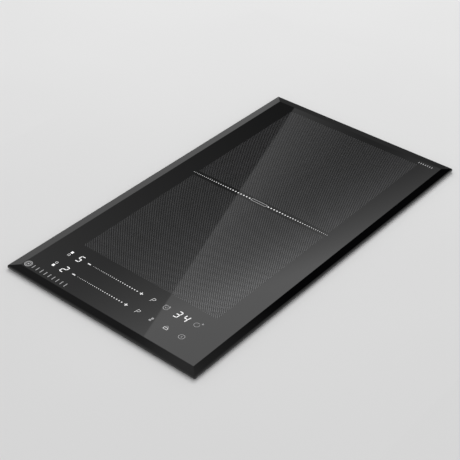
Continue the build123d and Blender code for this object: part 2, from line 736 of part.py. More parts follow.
# flat ribbon from the touch board down through the coil plate to the power board
ribbon_level = 20.0
ribbon_end_y = -160.0
ribbon_thickness = 0.8
with BuildPart() as ribbon_cable:
    with BuildSketch(Plane.YZ.offset(ribbon_x - ribbon_width / 2)):
        with BuildLine():
            FilletPolyline((ribbon_y, touch_board_z[0]), (ribbon_y, ribbon_level),
                           (ribbon_end_y, ribbon_level), (ribbon_end_y, board_top), radius=[8.0, 5.0])
        trace(line_width=ribbon_thickness)
    extrude(amount=ribbon_width)
write_piece(ribbon_cable.part, "ribbon_cable")

# ---- terminal compartment: housing, block, hinged cover and pin ----
box_x = (2.0, 104.0)
box_y = (196.0, casing_depth / 2 - sheet)
box_z = (sheet, 31.0)
box_wall = 1.6
block_top = 20.4
lead_height = 12.0
main_leads_x = (48.0, 58.0, 68.0)
clamp_y = 216.0
lead_hole = 2.2
saddle_boss = (3.2, 8.0)  # radius and height of the bosses under the cable clamp
saddle_spots = [(cable_x + side * 9.5, clamp_y) for side in (-1, 1)]
with BuildPart() as terminal_housing:
    block(box_x, box_y, box_z)
    block((box_x[0] + box_wall, box_x[1] - box_wall), (box_y[0] + box_wall, box_y[1]),
          (box_z[0] + box_wall, box_z[1] - box_wall), mode=Mode.SUBTRACT)
    with Locations(*[Plane(origin=(x, box_y[0], lead_height), z_dir=(0, 1, 0)) for x in main_leads_x]):
        Cylinder(lead_hole, 4 * box_wall, mode=Mode.SUBTRACT)
    with Locations(*[(x, y, box_z[0] + box_wall) for x, y in saddle_spots]):
        Cylinder(*saddle_boss, align=low)
        Cylinder(post_hole, saddle_boss[1], align=low, mode=Mode.SUBTRACT)
write_piece(terminal_housing.part, "terminal_housing")

block_x = (40.0, 96.0)
block_y = (203.0, 221.0)
pole_count = 5
pole_pitch = 11.0
pole_xs = [block_x[0] + 6 + pole_pitch * pole for pole in range(pole_count)]
wire_hole = (2.4, 9.0)
screw_well = (2.8, 4.0)
screw_well_y = 215.5
with BuildPart() as terminal_block:
    block(block_x, block_y, (box_z[0] + box_wall, block_top))
    with Locations(*[Plane(origin=(x, block_y[1], lead_height), z_dir=(0, 1, 0)) for x in pole_xs]):
        Cylinder(*wire_hole, align=high, mode=Mode.SUBTRACT)
    with Locations(*[(x, screw_well_y, block_top) for x in pole_xs]):
        Cylinder(*screw_well, align=high, mode=Mode.SUBTRACT)
write_piece(terminal_block.part, "terminal_block")

saddle_z = (10.6, 21.0)
saddle_half = (12.0, 4.0)
cable_radius = 4.6
with BuildPart() as cable_clamp:
    saddle_y = (clamp_y - saddle_half[1], clamp_y + saddle_half[1])
    block((cable_x - saddle_half[0], cable_x + saddle_half[0]), saddle_y, saddle_z)
    with Locations(Plane(origin=(cable_x, clamp_y, cable_z), z_dir=(0, 1, 0))):
        Cylinder(cable_radius, 3 * saddle_half[1], mode=Mode.SUBTRACT)
    mouth_x = (cable_x - cable_radius, cable_x + cable_radius)
    block(mouth_x, saddle_y, (saddle_z[0], cable_z), mode=Mode.SUBTRACT)
    with Locations(*[(x, y, saddle_z[0]) for x, y in saddle_spots]):
        Cylinder(wall_hole, saddle_z[1], align=low, mode=Mode.SUBTRACT)
write_piece(cable_clamp.part, "cable_clamp")

grommet_bore = 4.8
grommet_tail = 5.0
tail_radius = 6.4
barb_radius = 8.0
lip_radii = (7.6, 8.6)
lip_height = 2.2
with BuildPart() as cable_grommet:
    with BuildSketch(Plane(origin=(cable_x, 0, cable_z), x_dir=(1, 0, 0), z_dir=(0, 0, 1))):
        outer_face = casing_depth / 2
        with BuildLine():
            Polyline((grommet_bore, outer_face - grommet_tail), (tail_radius, outer_face - grommet_tail),
                     (barb_radius, outer_face - 2 * sheet - 1), (barb_radius, outer_face - sheet),
                     (grommet_neck, outer_face - sheet), (grommet_neck, outer_face),
                     (lip_radii[1], outer_face), (lip_radii[0], outer_face + lip_height),
                     (grommet_bore, outer_face + lip_height), close=True)
        make_face()
    revolve(axis=Axis((cable_x, 0, cable_z), (0, 1, 0)))
write_piece(cable_grommet.part, "cable_grommet")

cover_x = (33.0, 101.0)
cover_y = (casing_depth / 2 + 0.3, hinge_y - 0.1)
cover_z = (3.0, 31.6)
cover_knuckles = ((40.0, 54.0), (80.0, 94.0))
cover_bore = 0.95
with BuildPart() as terminal_cover:
    block(cover_x, cover_y, cover_z)
    for knuckle_x in cover_knuckles:
        block(knuckle_x, cover_y, (cover_z[1], hinge_z))
        middle = sum(knuckle_x) / 2
        with Locations(Plane(origin=(middle, hinge_y, hinge_z), z_dir=(1, 0, 0))):
            Cylinder(knuckle, knuckle_x[1] - knuckle_x[0])
            Cylinder(cover_bore, 2 * knuckle_x[1], mode=Mode.SUBTRACT)
write_piece(terminal_cover.part, "terminal_cover")

pin_x = (cover_knuckles[0][0], cover_knuckles[1][1])
with BuildPart() as cover_hinge_pin:
    with Locations(Plane(origin=(sum(pin_x) / 2, hinge_y, hinge_z), z_dir=(1, 0, 0))):
        Cylinder(pin_radius, pin_x[1] - pin_x[0])
write_piece(cover_hinge_pin.part, "cover_hinge_pin")

# ---- internal wiring, held along its whole route ----
rear_lead_level = 22.0
rear_lead_end_y = rear_zone_y - 35.0
with BuildPart() as coil_leads:
    for lead_x in winding_end_x:
        with BuildLine():
            front_route = Line((lead_x, front_zone_y, winding_bottom), (lead_x, front_zone_y, board_top))
        with BuildSketch(Plane(origin=front_route @ 0, z_dir=front_route % 0)):
            Circle(lead_radius)
        sweep(path=front_route)
        with BuildLine():
            rear_route = FilletPolyline(
                (lead_x, rear_zone_y, winding_bottom), (lead_x, rear_zone_y, rear_lead_level),
                (lead_x, rear_lead_end_y, rear_lead_level), (lead_x, rear_lead_end_y, board_top),
                radius=[7.0, 6.0])
        with BuildSketch(Plane(origin=rear_route @ 0, z_dir=rear_route % 0)):
            Circle(lead_radius)
        sweep(path=rear_route)
write_piece(coil_leads.part, "coil_leads")

first_turn_y = 188.0
turn_step = 9.0
drop_x = -12.0
drop_height = 20.0
with BuildPart() as mains_leads:
    for lead, lead_x in enumerate(main_leads_x):
        turn_y = first_turn_y - turn_step * lead
        with BuildLine():
            route = FilletPolyline(
                (lead_x, block_y[0], lead_height), (lead_x, turn_y, lead_height),
                (drop_x, turn_y, drop_height), (drop_x, turn_y, board_top), radius=[6.0, 5.0])
        with BuildSketch(Plane(origin=route @ 0, z_dir=route % 0)):
            Circle(lead_radius)
        sweep(path=route)
write_piece(mains_leads.part, "mains_leads")

fan_lead_radius = 1.1
with BuildPart() as fan_lead:
    with BuildLine():
        fan_route = FilletPolyline(
            (fan_x + 30.0, fan_y - 20.0, cover_top + 1.2), (-20.0, fan_y - 20.0, cover_top + 1.2),
            (-8.0, fan_y - 8.0, 18.0), (-8.0, fan_y - 8.0, board_top), radius=[8.0, 5.0])
    with BuildSketch(Plane(origin=fan_route @ 0, z_dir=fan_route % 0)):
        Circle(fan_lead_radius)
    sweep(path=fan_route)
write_piece(fan_lead.part, "fan_lead")

# ---- machine screws inside: coil plate, boards, fan and cable clamp ----
small_head = (2.8, 1.6)
# each group: where its screws sit, the face under their heads and the length of their shanks
screw_groups = [(post_spots, plate_top, 8.0), (board_holes + filter_holes, board_top, 6.0),
                (fan_screw_spots, cover_top, 25.0), (saddle_spots, saddle_z[1], 16.0)]
with BuildPart() as inner_screws:
    for spots, seat, shank in screw_groups:
        with Locations(*[(x, y, seat) for x, y in spots]):
            Cylinder(*small_head, align=low)
            Cylinder(tapped_radius, shank, align=high)
write_piece(inner_screws.part, "inner_screws")

# ---- worktop clamps: bracket, screw, travelling nut and swivel arm in each corner notch ----
clamp_x = 113.5
clamp_pivot_y = 233.0
notch_wall_y = casing_depth / 2 - notch_depth
clamp_sheet = 1.2
lug_z = ((3.2, 3.2 + clamp_sheet), (40.0, 40.0 + clamp_sheet))
lug_reach = 4.5
lug_ends = (108.5, 118.5)
plate_ends = (108.5, 126.0)
clamp_screw_radius = 2.0
clamp_head = (3.6, 2.6)
clamp_shank = 40.0
driver_cross = (1.0, 5.0, 2.4)
nut_z = (4.6, 7.0)
nut_half = 4.8
nut_ends = (1.6, 5.0)  # from the notch wall and past the pivot
boss_radius = 4.0
boss_top = 9.8
arm_z = (7.2, 9.2)
arm_length = 20.0
arm_width = 9.0
arm_eye = 5.2
tooth_length = 2.0
tooth_top = 12.0
turning_gap = 0.06
with BuildPart() as clamp_brackets:
    for side, end in corners:
        plate_ys = sorted((end * notch_wall_y, end * (notch_wall_y + clamp_sheet)))
        lug_ys = sorted((end * notch_wall_y, end * (clamp_pivot_y + lug_reach)))
        plate_xs = sorted((side * plate_ends[0], side * plate_ends[1]))
        lug_xs = sorted((side * lug_ends[0], side * lug_ends[1]))
        block(plate_xs, plate_ys, (lug_z[0][0], lug_z[1][1]))
        for lug in lug_z:
            block(lug_xs, lug_ys, lug)
    with Locations(*[(side * clamp_x, end * clamp_pivot_y, 0) for side, end in corners]):
        Cylinder(clamp_screw_radius + 0.1, 2 * recess_depth, mode=Mode.SUBTRACT)
write_piece(clamp_brackets.part, "clamp_brackets")

with BuildPart() as clamp_screws:
    with Locations(*[(side * clamp_x, end * clamp_pivot_y, lug_z[0][0]) for side, end in corners]):
        Cylinder(*clamp_head, align=high)
        Cylinder(clamp_screw_radius, clamp_shank, align=low)
        with Locations((0, 0, -clamp_head[1])):
            Box(driver_cross[0], driver_cross[1], driver_cross[2], mode=Mode.SUBTRACT)
            Box(driver_cross[1], driver_cross[0], driver_cross[2], mode=Mode.SUBTRACT)
write_piece(clamp_screws.part, "clamp_screws")

corner_names = {(-1, -1): "front_left", (1, -1): "front_right", (-1, 1): "rear_left", (1, 1): "rear_right"}
for (side, end), corner_name in corner_names.items():
    pivot = (side * clamp_x, end * clamp_pivot_y)
    with BuildPart() as clamp_nut:
        nut_ys = sorted((end * (notch_wall_y + nut_ends[0]), end * (clamp_pivot_y + nut_ends[1])))
        block((pivot[0] - nut_half, pivot[0] + nut_half), nut_ys, nut_z)
        with Locations((*pivot, nut_z[0])):
            Cylinder(boss_radius, boss_top - nut_z[0], align=low)
            Cylinder(clamp_screw_radius + turning_gap, recess_depth, mode=Mode.SUBTRACT)
    write_piece(clamp_nut.part, f"{corner_name}_clamp_nut")
    with BuildPart() as clamp_arm:
        tip = pivot[0] + side * arm_length
        with BuildSketch(Plane.XY.offset(arm_z[0])):
            with Locations(pivot):
                Circle(arm_eye)
            with Locations((pivot[0] + side * arm_length / 2, pivot[1])):
                Rectangle(arm_length, arm_width)
        extrude(amount=arm_z[1] - arm_z[0])
        tooth_ys = (pivot[1] - arm_width / 2, pivot[1] + arm_width / 2)
        block(sorted((tip, tip - side * tooth_length)), tooth_ys, (arm_z[0], tooth_top))
        with Locations((*pivot, 0)):
            Cylinder(boss_radius + turning_gap, recess_depth, mode=Mode.SUBTRACT)
    write_piece(clamp_arm.part, f"{corner_name}_clamp_arm")
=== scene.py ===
import json
import math
import bpy
import numpy as np
from mathutils import Matrix, Vector


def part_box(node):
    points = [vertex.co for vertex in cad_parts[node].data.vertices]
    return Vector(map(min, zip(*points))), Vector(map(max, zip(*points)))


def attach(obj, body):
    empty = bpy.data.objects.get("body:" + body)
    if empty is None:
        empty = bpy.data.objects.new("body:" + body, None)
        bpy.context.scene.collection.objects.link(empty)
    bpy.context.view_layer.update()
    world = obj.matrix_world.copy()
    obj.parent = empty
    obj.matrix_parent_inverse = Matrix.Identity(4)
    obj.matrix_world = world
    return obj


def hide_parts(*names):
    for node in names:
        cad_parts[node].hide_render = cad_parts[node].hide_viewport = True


# Two-zone induction cooktop: the glass, its prints and the finishes of every part, in metres.
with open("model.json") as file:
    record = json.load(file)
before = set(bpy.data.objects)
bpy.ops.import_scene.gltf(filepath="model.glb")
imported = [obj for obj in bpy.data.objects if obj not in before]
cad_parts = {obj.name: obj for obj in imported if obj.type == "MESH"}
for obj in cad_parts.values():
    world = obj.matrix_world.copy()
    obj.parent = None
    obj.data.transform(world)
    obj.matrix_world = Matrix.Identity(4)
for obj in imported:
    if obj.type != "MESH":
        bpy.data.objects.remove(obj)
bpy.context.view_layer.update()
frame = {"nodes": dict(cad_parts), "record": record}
mm = 0.001
print("stage: frame loaded,", len(frame["nodes"]), "nodes")


# shader helpers
class Sock:
    # One output socket; arithmetic on it adds Math nodes to its tree.

    def __init__(self, tree, socket):
        self.tree = tree
        self.socket = socket

    def math(self, operation, other=0.0, third=None):
        inputs = {0: self, 1: other}
        if third is not None:
            inputs[2] = third
        return self.tree.node("ShaderNodeMath", {"operation": operation}, inputs)

    def __add__(self, other):
        return self.math("ADD", other)

    def __mul__(self, other):
        return self.math("MULTIPLY", other)

    def __truediv__(self, other):
        return self.math("DIVIDE", other)

    def __sub__(self, other):
        return self.math("SUBTRACT", other)

    def __rsub__(self, other):
        return self.tree.node("ShaderNodeMath", {"operation": "SUBTRACT"}, {0: other, 1: self})

    def __gt__(self, other):
        return self.math("GREATER_THAN", other)

    def __lt__(self, other):
        return self.math("LESS_THAN", other)

    __radd__ = __add__
    __rmul__ = __mul__

    def abs(self):
        return self.math("ABSOLUTE")

    def cos(self):
        return self.math("COSINE")

    def sin(self):
        return self.math("SINE")

    def power(self, exponent):
        return self.math("POWER", exponent)

    def exponential(self):
        return self.math("EXPONENT")

    def max(self, other):
        return self.math("MAXIMUM", other)

    def min(self, other):
        return self.math("MINIMUM", other)

    def smooth(self, low, high, outLow=0.0, outHigh=1.0):
        # Rises from outLow at low to outHigh at high along a smooth step.
        return self.tree.node("ShaderNodeMapRange", {"interpolation_type": "SMOOTHSTEP"},
                              {"Value": self, "From Min": low, "From Max": high,
                               "To Min": outLow, "To Max": outHigh})


class Tree:
    # A node tree and the one method that adds a node to it.

    def __init__(self, nodeTree):
        self.nodes = nodeTree.nodes
        self.links = nodeTree.links
        self.nodes.clear()

    def node(self, kind, settings=None, inputs=None, output=0):
        made = self.nodes.new(kind)
        for name, value in (settings or {}).items():
            setattr(made, name, value)
        for name, value in (inputs or {}).items():
            socket = made.inputs[name]
            if isinstance(value, Sock):
                self.links.new(value.socket, socket)
            else:
                socket.default_value = value
        return None if output is None else Sock(self, made.outputs[output])

    def objectPoint(self):
        return self.node("ShaderNodeTexCoord", output="Object")

    def axes(self, vector):
        # The X, Y and Z of a vector.
        first = self.node("ShaderNodeSeparateXYZ", None, {0: vector})
        return [Sock(self, out) for out in first.socket.node.outputs]

    def stretch(self, point, scale, turn=(0, 0, 0)):
        return self.node("ShaderNodeMapping", None, {"Vector": point, "Scale": scale, "Rotation": turn})

    def noise(self, point, scale, detail):
        return self.node("ShaderNodeTexNoise", None, {"Vector": point, "Scale": scale, "Detail": detail})

    def cells(self, point, scale, output="Distance"):
        return self.node("ShaderNodeTexVoronoi", None, {"Vector": point, "Scale": scale}, output)

    def mix(self, factor, first, second):
        # Colour first where factor is 0 and second where it is 1.
        first, second = [value if isinstance(value, Sock) else (*value, 1.0) for value in (first, second)]
        return self.node("ShaderNodeMix", {"data_type": "RGBA"}, {0: factor, 6: first, 7: second}, 2)

    def bump(self, height, distance, strength):
        return self.node("ShaderNodeBump", None,
                         {"Height": height, "Distance": distance, "Strength": strength})


def newMaterial(name, varying, fixed):
    # A Principled material: varying(tree) gives its linked sockets, fixed its plain ones.
    made = bpy.data.materials.new(name)
    made.use_nodes = True
    tree = Tree(made.node_tree)
    shader = tree.node("ShaderNodeBsdfPrincipled", None, {**fixed, **varying(tree)})
    tree.node("ShaderNodeOutputMaterial", None, {"Surface": shader}, None)
    return made


# surface helpers
def meshPiece(name, points, faces, material, body, sharpAngle=20):
    # Makes a piece from an array of points and lists of corner numbers, with its normals outwards.
    mesh = bpy.data.meshes.new(name)
    mesh.from_pydata(np.asarray(points, float).tolist(), [], [list(map(int, f)) for f in faces])
    mesh.validate()
    mesh.polygons.foreach_set("use_smooth", [True] * len(mesh.polygons))
    mesh.set_sharp_from_angle(angle=math.radians(sharpAngle))
    mesh.materials.append(material)
    piece = bpy.data.objects.new(name, mesh)
    bpy.context.scene.collection.objects.link(piece)
    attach(piece, body)
    return piece


def gridFaces(rows, columns, closedRows=False):
    # Quads of a grid of rows by columns points, row by row: each row closes on itself, and with closedRows
    # the last row joins the first.
    r, c = np.meshgrid(np.arange(rows if closedRows else rows - 1), np.arange(columns), indexing="ij")
    r, c = r.ravel(), c.ravel()
    r2, c2 = (r + 1) % rows, (c + 1) % columns
    return np.stack([r * columns + c, r * columns + c2, r2 * columns + c2, r2 * columns + c], 1)


def roundedOutline(halfX, halfY, radius, steps):
    # Points and outward corner directions of a rounded rectangle: each corner a quarter circle of
    # the radius about (halfX - radius, halfY - radius), taken in turn round the four corners.
    turn = np.linspace(0, math.pi / 2, steps)
    angle = np.concatenate([turn + quarter * math.pi / 2 for quarter in range(4)])
    signX = np.repeat([1, -1, -1, 1], steps)
    signY = np.repeat([1, 1, -1, -1], steps)
    x = signX * (halfX - radius) + radius * np.cos(angle)
    y = signY * (halfY - radius) + radius * np.sin(angle)
    return np.stack([x, y], 1)


sharpestMitre = 0.4     # keeps a stroke's corners from running out to a spike


def strokeSlab(path, width, low, high, closed=False):
    # A flat stroke: a rectangle width wide from low to high carried along the path in the XY plane,
    # its side points half a width along the mitred normal.
    path = np.asarray(path, float)
    if closed:
        ahead, behind = np.roll(path, -1, 0), np.roll(path, 1, 0)
        first, second = path - behind, ahead - path
    else:
        run = np.diff(path, axis=0)
        first, second = np.vstack([run[:1], run]), np.vstack([run, run[-1:]])
    first = first / np.linalg.norm(first, axis=1, keepdims=True)
    second = second / np.linalg.norm(second, axis=1, keepdims=True)
    along = first + second
    along /= np.linalg.norm(along, axis=1, keepdims=True)
    normal = np.stack([-along[:, 1], along[:, 0]], 1)
    mitre = np.maximum((normal * np.stack([-first[:, 1], first[:, 0]], 1)).sum(1), sharpestMitre)
    side = normal * (1 / mitre * width / 2)[:, None]
    ends = [(path - side, low), (path + side, low), (path + side, high), (path - side, high)]
    rings = np.stack([np.column_stack([p, np.full(len(p), z)]) for p, z in ends], 1)
    faces = [list(f) for f in gridFaces(len(path), 4, closed)]
    if not closed:
        faces += [[3, 2, 1, 0], [4 * len(path) - 4 + k for k in range(4)]]
    return rings.reshape(-1, 3), [f[::-1] for f in faces]


def endCaps(rows, columns):
    # The two polygons that close a grid's first and last row.
    last = (rows - 1) * columns
    return [list(range(columns))[::-1], list(range(last, last + columns))]


def polygonSlab(outline, low, high):
    # A thin plate with the given outline, counter-clockwise, at low and at high, with a wall between.
    outline = np.asarray(outline, float)
    steps = len(outline)
    points = np.vstack([np.column_stack([outline, np.full(steps, z)]) for z in (low, high)])
    return points, [list(f) for f in gridFaces(2, steps)] + endCaps(2, steps)


def discSlab(centre, radius, low, high, steps=14):
    # A thin disc: (x, y) = centre + radius * (cos turn, sin turn), at low and at high.
    turn = np.arange(steps) * 2 * math.pi / steps
    return polygonSlab(np.array(centre) + radius * np.column_stack([np.cos(turn), np.sin(turn)]), low, high)


def gather(shapes):
    # Joins (points, faces) pairs into one pair.
    points, faces, count = [], [], 0
    for shapePoints, shapeFaces in shapes:
        points.append(shapePoints)
        faces += [[i + count for i in f] for f in shapeFaces]
        count += len(shapePoints)
    return np.vstack(points), faces


def arc(centre, radius, start, end, steps=18):
    # Points on a circle about centre from start to end, in degrees.
    turn = np.radians(np.linspace(start, end, steps))
    return np.column_stack([centre[0] + radius * np.cos(turn), centre[1] + radius * np.sin(turn)])


# finishes
glassFinish = {
    "rasterPitchX": 3.096 * mm,     # printed dots, staggered; one cell holds two
    "rasterPitchY": 3.049 * mm,
    "rasterLevel": 0.38,            # dots where the two cosines' product is above this
    "zoneHalfX": 105.0 * mm,
    "zoneHalfY": 100.0 * mm,
    "zoneY": (-74.0 * mm, 137.0 * mm),
    "black": (0.0016, 0.0016, 0.0018),
    "ink": (0.150, 0.150, 0.153),
    "inkMetal": 0.55,               # the fired dots carry lustre pigment, so they mirror more than the glass
    "glassIOR": 1.5,
    "gapIOR": 1.38,                 # between the dots a matt flux dulls the glass a little
    "flatLevel": 55.6 * mm,         # the raster lies above this height
    "dotEdge": 0.06,
    "dotRough": 0.02,
    "smear": {"stretch": (1, 0.6, 1), "turn": (0, 0, 0.5), "scale": 14, "detail": 4, "range": (0.35, 0.75)},
    "polish": (0.008, 0.022),       # roughness where the smear is faint and where it is strong
}


def blackGlass():
    # Near-black ceramic with a staggered dot raster inside the two cooking zones. Dots lie where the
    # product of a cosine along X and one along Y is high.
    made = bpy.data.materials.new("black_glass_finish")
    made.use_nodes = True
    tree = Tree(made.node_tree)
    x, y, z = tree.axes(tree.objectPoint())
    s = glassFinish
    wave = (x * (2 * math.pi / s["rasterPitchX"])).cos() * (y * (2 * math.pi / s["rasterPitchY"])).cos()
    dots = wave.smooth(s["rasterLevel"] - s["dotEdge"], s["rasterLevel"] + s["dotEdge"])
    inside = sum([(y - middle).abs() < s["zoneHalfY"] for middle in s["zoneY"]], 0.0) * \
        (x.abs() < s["zoneHalfX"]) * (z > s["flatLevel"])
    mask = dots * inside
    film = s["smear"]
    wiped = tree.stretch(tree.objectPoint(), film["stretch"], film["turn"])
    smear = tree.noise(wiped, film["scale"], film["detail"])
    colour = tree.mix(mask, s["black"], s["ink"])
    roughness = smear.smooth(*film["range"], *s["polish"]) + mask * s["dotRough"]
    glass, gaps = [tree.node("ShaderNodeBsdfPrincipled", None,
                             {"Base Color": colour, "Roughness": roughness, "Metallic": mask * s["inkMetal"],
                              "IOR": index}) for index in (s["glassIOR"], s["gapIOR"])]
    both = tree.node("ShaderNodeMixShader", None, {0: inside - mask, 1: glass, 2: gaps})
    tree.node("ShaderNodeOutputMaterial", None, {"Surface": both}, None)
    return made


noiseMiddle = (0.3, 0.7)     # the part of a noise's range that a shade or gloss follows
mould = {"shade": 30, "shadeShare": 0.75, "speckShare": 0.25, "grain": 4500, "relief": 0.04 * mm,
         "rough": (0.42, 0.6), "strength": 0.5}


def moulded(dark, light, grain=mould["grain"], relief=mould["relief"], rough=mould["rough"]):
    # Moulded plastic or rubber: spark-eroded grain with slow changes of shade and gloss.
    def varying(tree):
        s = mould
        point = tree.objectPoint()
        shade = tree.noise(point, s["shade"], 4)
        speck = tree.noise(point, grain / 3, 2)
        level = shade.smooth(*noiseMiddle) * s["shadeShare"] + speck * s["speckShare"]
        return {"Base Color": tree.mix(level, dark, light), "Roughness": shade.smooth(*noiseMiddle, *rough),
                "Normal": tree.bump(tree.noise(point, grain, 2), relief, s["strength"])}
    return varying


zinc = {"spangle": 170, "cloud": 22, "scratch": (9, 500, 9), "dark": (0.44, 0.455, 0.47),
        "light": (0.62, 0.63, 0.64), "rough": 0.26, "roughBySpangle": 0.13, "roughByCloud": 0.12,
        "relief": 0.02 * mm, "strength": 0.35}


def zincSheet(tree):
    # Galvanised sheet: spangle cells a few millimetres wide, each with its own shade and gloss.
    s = zinc
    point = tree.objectPoint()
    level = tree.axes(tree.cells(point, s["spangle"], "Color"))[0]
    cloud = tree.noise(point, s["cloud"], 4)
    scratch = tree.noise(tree.stretch(point, s["scratch"]), 4, 3)
    return {"Base Color": tree.mix(level * 0.6 + cloud * 0.4, s["dark"], s["light"]),
            "Roughness": level * s["roughBySpangle"] + cloud * s["roughByCloud"] + s["rough"],
            "Normal": tree.bump(scratch * 0.4 + level * 0.6, s["relief"], s["strength"])}


plating = {"mottle": 260, "rings": (60, 60, 5200), "roughByRings": 0.16, "roughByMottle": 0.12,
           "relief": 0.02 * mm, "strength": 0.4}


def platedSteel(low, high, rough=0.14):
    # Zinc plating or drawn wire: fine turning marks round Z with a mottled passivated shade.
    def varying(tree):
        s = plating
        point = tree.objectPoint()
        mottle = tree.noise(point, s["mottle"], 3)
        rings = tree.noise(tree.stretch(point, s["rings"]), 1, 2)
        return {"Base Color": tree.mix(mottle.smooth(*noiseMiddle), low, high),
                "Roughness": rings * s["roughByRings"] + mottle * s["roughByMottle"] + rough,
                "Normal": tree.bump(rings, s["relief"], s["strength"])}
    return varying


aluminium = {"lines": (1500, 6, 1500), "cloud": 18, "dark": (0.60, 0.61, 0.62), "light": (0.84, 0.85, 0.86),
             "relief": 0.03 * mm, "strength": 0.4}


def rolledAluminium(tree):
    # Mill-finish aluminium: rolling or extrusion lines along Y, broken by cloudy patches.
    s = aluminium
    point = tree.objectPoint()
    lines = tree.noise(tree.stretch(point, s["lines"]), 1, 4)
    cloud = tree.noise(point, s["cloud"], 4)
    return {"Base Color": tree.mix(lines * 0.6 + cloud * 0.4, s["dark"], s["light"]),
            "Roughness": lines * 0.2 + cloud * 0.1 + 0.2,
            "Normal": tree.bump(lines, s["relief"], s["strength"])}


litz = {"strands": 6200.0, "lean": 0.7, "shade": 90, "dark": (0.22, 0.075, 0.03),
        "light": (0.78, 0.36, 0.17), "relief": 0.18 * mm}


def litzWire(tree):
    # Bundled enamelled strands: fine diagonal ridges that cross the turns, copper to dark amber. The colour
    # darkens with the ridges' height, which is painted shade in the grooves between strands.
    s = litz
    point = tree.objectPoint()
    x, y, z = tree.axes(point)
    rise = z * s["lean"]
    ridges = [(way + rise) * s["strands"] for way in (x + y, x - y)]
    strandRidgesAndPaintedShade = ridges[0].sin() * 0.25 + ridges[1].sin() * 0.25 + 0.5
    shade = tree.noise(point, s["shade"], 3)
    # painted shade: the base colour follows the ridge height, darker in the grooves between strands, with
    # random tone from the noise
    return {"Base Color": tree.mix(strandRidgesAndPaintedShade * 0.6 + shade * 0.4, s["dark"], s["light"]),
            "Roughness": strandRidgesAndPaintedShade * -0.15 + 0.45, "Normal": tree.bump(strandRidgesAndPaintedShade, s["relief"], 0.6)}


ferrite = {"pores": 900, "speck": 700, "speckRange": (0.45, 0.75), "dark": (0.035, 0.035, 0.038),
           "light": (0.11, 0.11, 0.115), "relief": 0.06 * mm}


def sintered(tree):
    # Ferrite: dark grey ceramic with fine pores and pale rubbed specks.
    point = tree.objectPoint()
    s = ferrite
    pores = tree.cells(point, s["pores"])
    speck = tree.noise(point, s["speck"], 2)
    return {"Base Color": tree.mix(speck.smooth(*s["speckRange"]), s["dark"], s["light"]),
            "Roughness": speck * 0.3 + 0.45, "Normal": tree.bump(pores, s["relief"], 0.5)}


mica = {"flakes": 420, "cloud": 24, "dark": (0.42, 0.36, 0.26), "light": (0.74, 0.69, 0.58),
        "relief": 0.04 * mm}


def micaPaper(tree):
    # Pressed mica: overlapping flakes with golden glints.
    point = tree.objectPoint()
    s = mica
    flakes = tree.axes(tree.cells(point, s["flakes"], "Color"))[1]
    cloud = tree.noise(point, s["cloud"], 4)
    return {"Base Color": tree.mix(flakes * 0.5 + cloud * 0.5, s["dark"], s["light"]),
            "Roughness": flakes * 0.35 + 0.28, "Normal": tree.bump(flakes, s["relief"], 0.4)}


board = {"tracks": 150, "trackTurns": 0.35, "trackEdge": (0.10, 0.14), "holePitch": 2.54 * mm,
         "holeEdge": (0.93, 0.96), "patches": 60, "patchEdge": (0.52, 0.56), "gap": (0.010, 0.060, 0.026),
         "copper": (0.022, 0.150, 0.060), "tin": (0.62, 0.62, 0.60), "relief": 0.04 * mm}


def solderMask(tree):
    # Circuit board: green mask over tracks in a grid of right-angled paths, with tinned pads.
    s = board
    point = tree.objectPoint()
    tracks = tree.node("ShaderNodeTexVoronoi", {"feature": "DISTANCE_TO_EDGE", "distance": "EUCLIDEAN"},
                       {"Vector": tree.stretch(point, (1, 1, 0)), "Scale": s["tracks"],
                        "Randomness": s["trackTurns"]})
    copper = tracks.smooth(*s["trackEdge"])
    x, y = tree.axes(point)[:2]
    wave = math.pi / s["holePitch"]
    holes = ((x * wave).cos() * (y * wave).cos()).abs().smooth(*s["holeEdge"])
    pads = holes * tree.noise(point, s["patches"], 1).smooth(*s["patchEdge"])
    return {"Base Color": tree.mix(pads, tree.mix(copper, s["gap"], s["copper"]), s["tin"]),
            "Roughness": pads * 0.1 + 0.28, "Normal": tree.bump(copper + pads, s["relief"], 0.5)}


sleeve = {"flow": (300, 300, 40), "dust": 500, "dustRange": (0.4, 0.8), "rough": (0.2, 0.42),
          "relief": 0.04 * mm}


def sleeved(dark, light):
    # Shrink sleeve or cast case: smooth with slight flow streaks along Z and dust.
    def varying(tree):
        point = tree.objectPoint()
        flow = tree.noise(tree.stretch(point, sleeve["flow"]), 1, 3)
        dust = tree.noise(point, sleeve["dust"], 2)
        return {"Base Color": tree.mix(flow * 0.7 + dust * 0.3, dark, light),
                "Roughness": dust.smooth(*sleeve["dustRange"], *sleeve["rough"]),
                "Normal": tree.bump(flow, sleeve["relief"], 0.4)}
    return varying


ribbon = {"pitch": 1.27 * mm, "edgeCore": 53.2 * mm, "edgeColour": (0.55, 0.05, 0.04),
          "dark": (0.30, 0.30, 0.32), "light": (0.66, 0.66, 0.68), "relief": 0.3 * mm}


def ribbonCores(tree):
    # Flat ribbon: parallel cores 1.27 mm apart, one edge core coloured. The grey is lighter over each core
    # and darker in the grooves between, which is painted shade.
    s = ribbon
    x = tree.axes(tree.objectPoint())[0]
    coreRidgesAndPaintedShade = (x * (2 * math.pi / s["pitch"])).cos() * 0.5 + 0.5
    # painted shade: the jacket grey follows the ridge over each core, darker in the grooves between
    body = tree.mix(coreRidgesAndPaintedShade, s["dark"], s["light"])
    return {"Base Color": tree.mix(x < s["edgeCore"], body, s["edgeColour"]),
            "Roughness": coreRidgesAndPaintedShade * -0.15 + 0.5, "Normal": tree.bump(coreRidgesAndPaintedShade, s["relief"], 0.6)}


foam = {"cells": 1400, "cloud": 80, "dark": (0.035, 0.035, 0.038), "light": (0.09, 0.09, 0.095),
        "relief": 0.2 * mm}


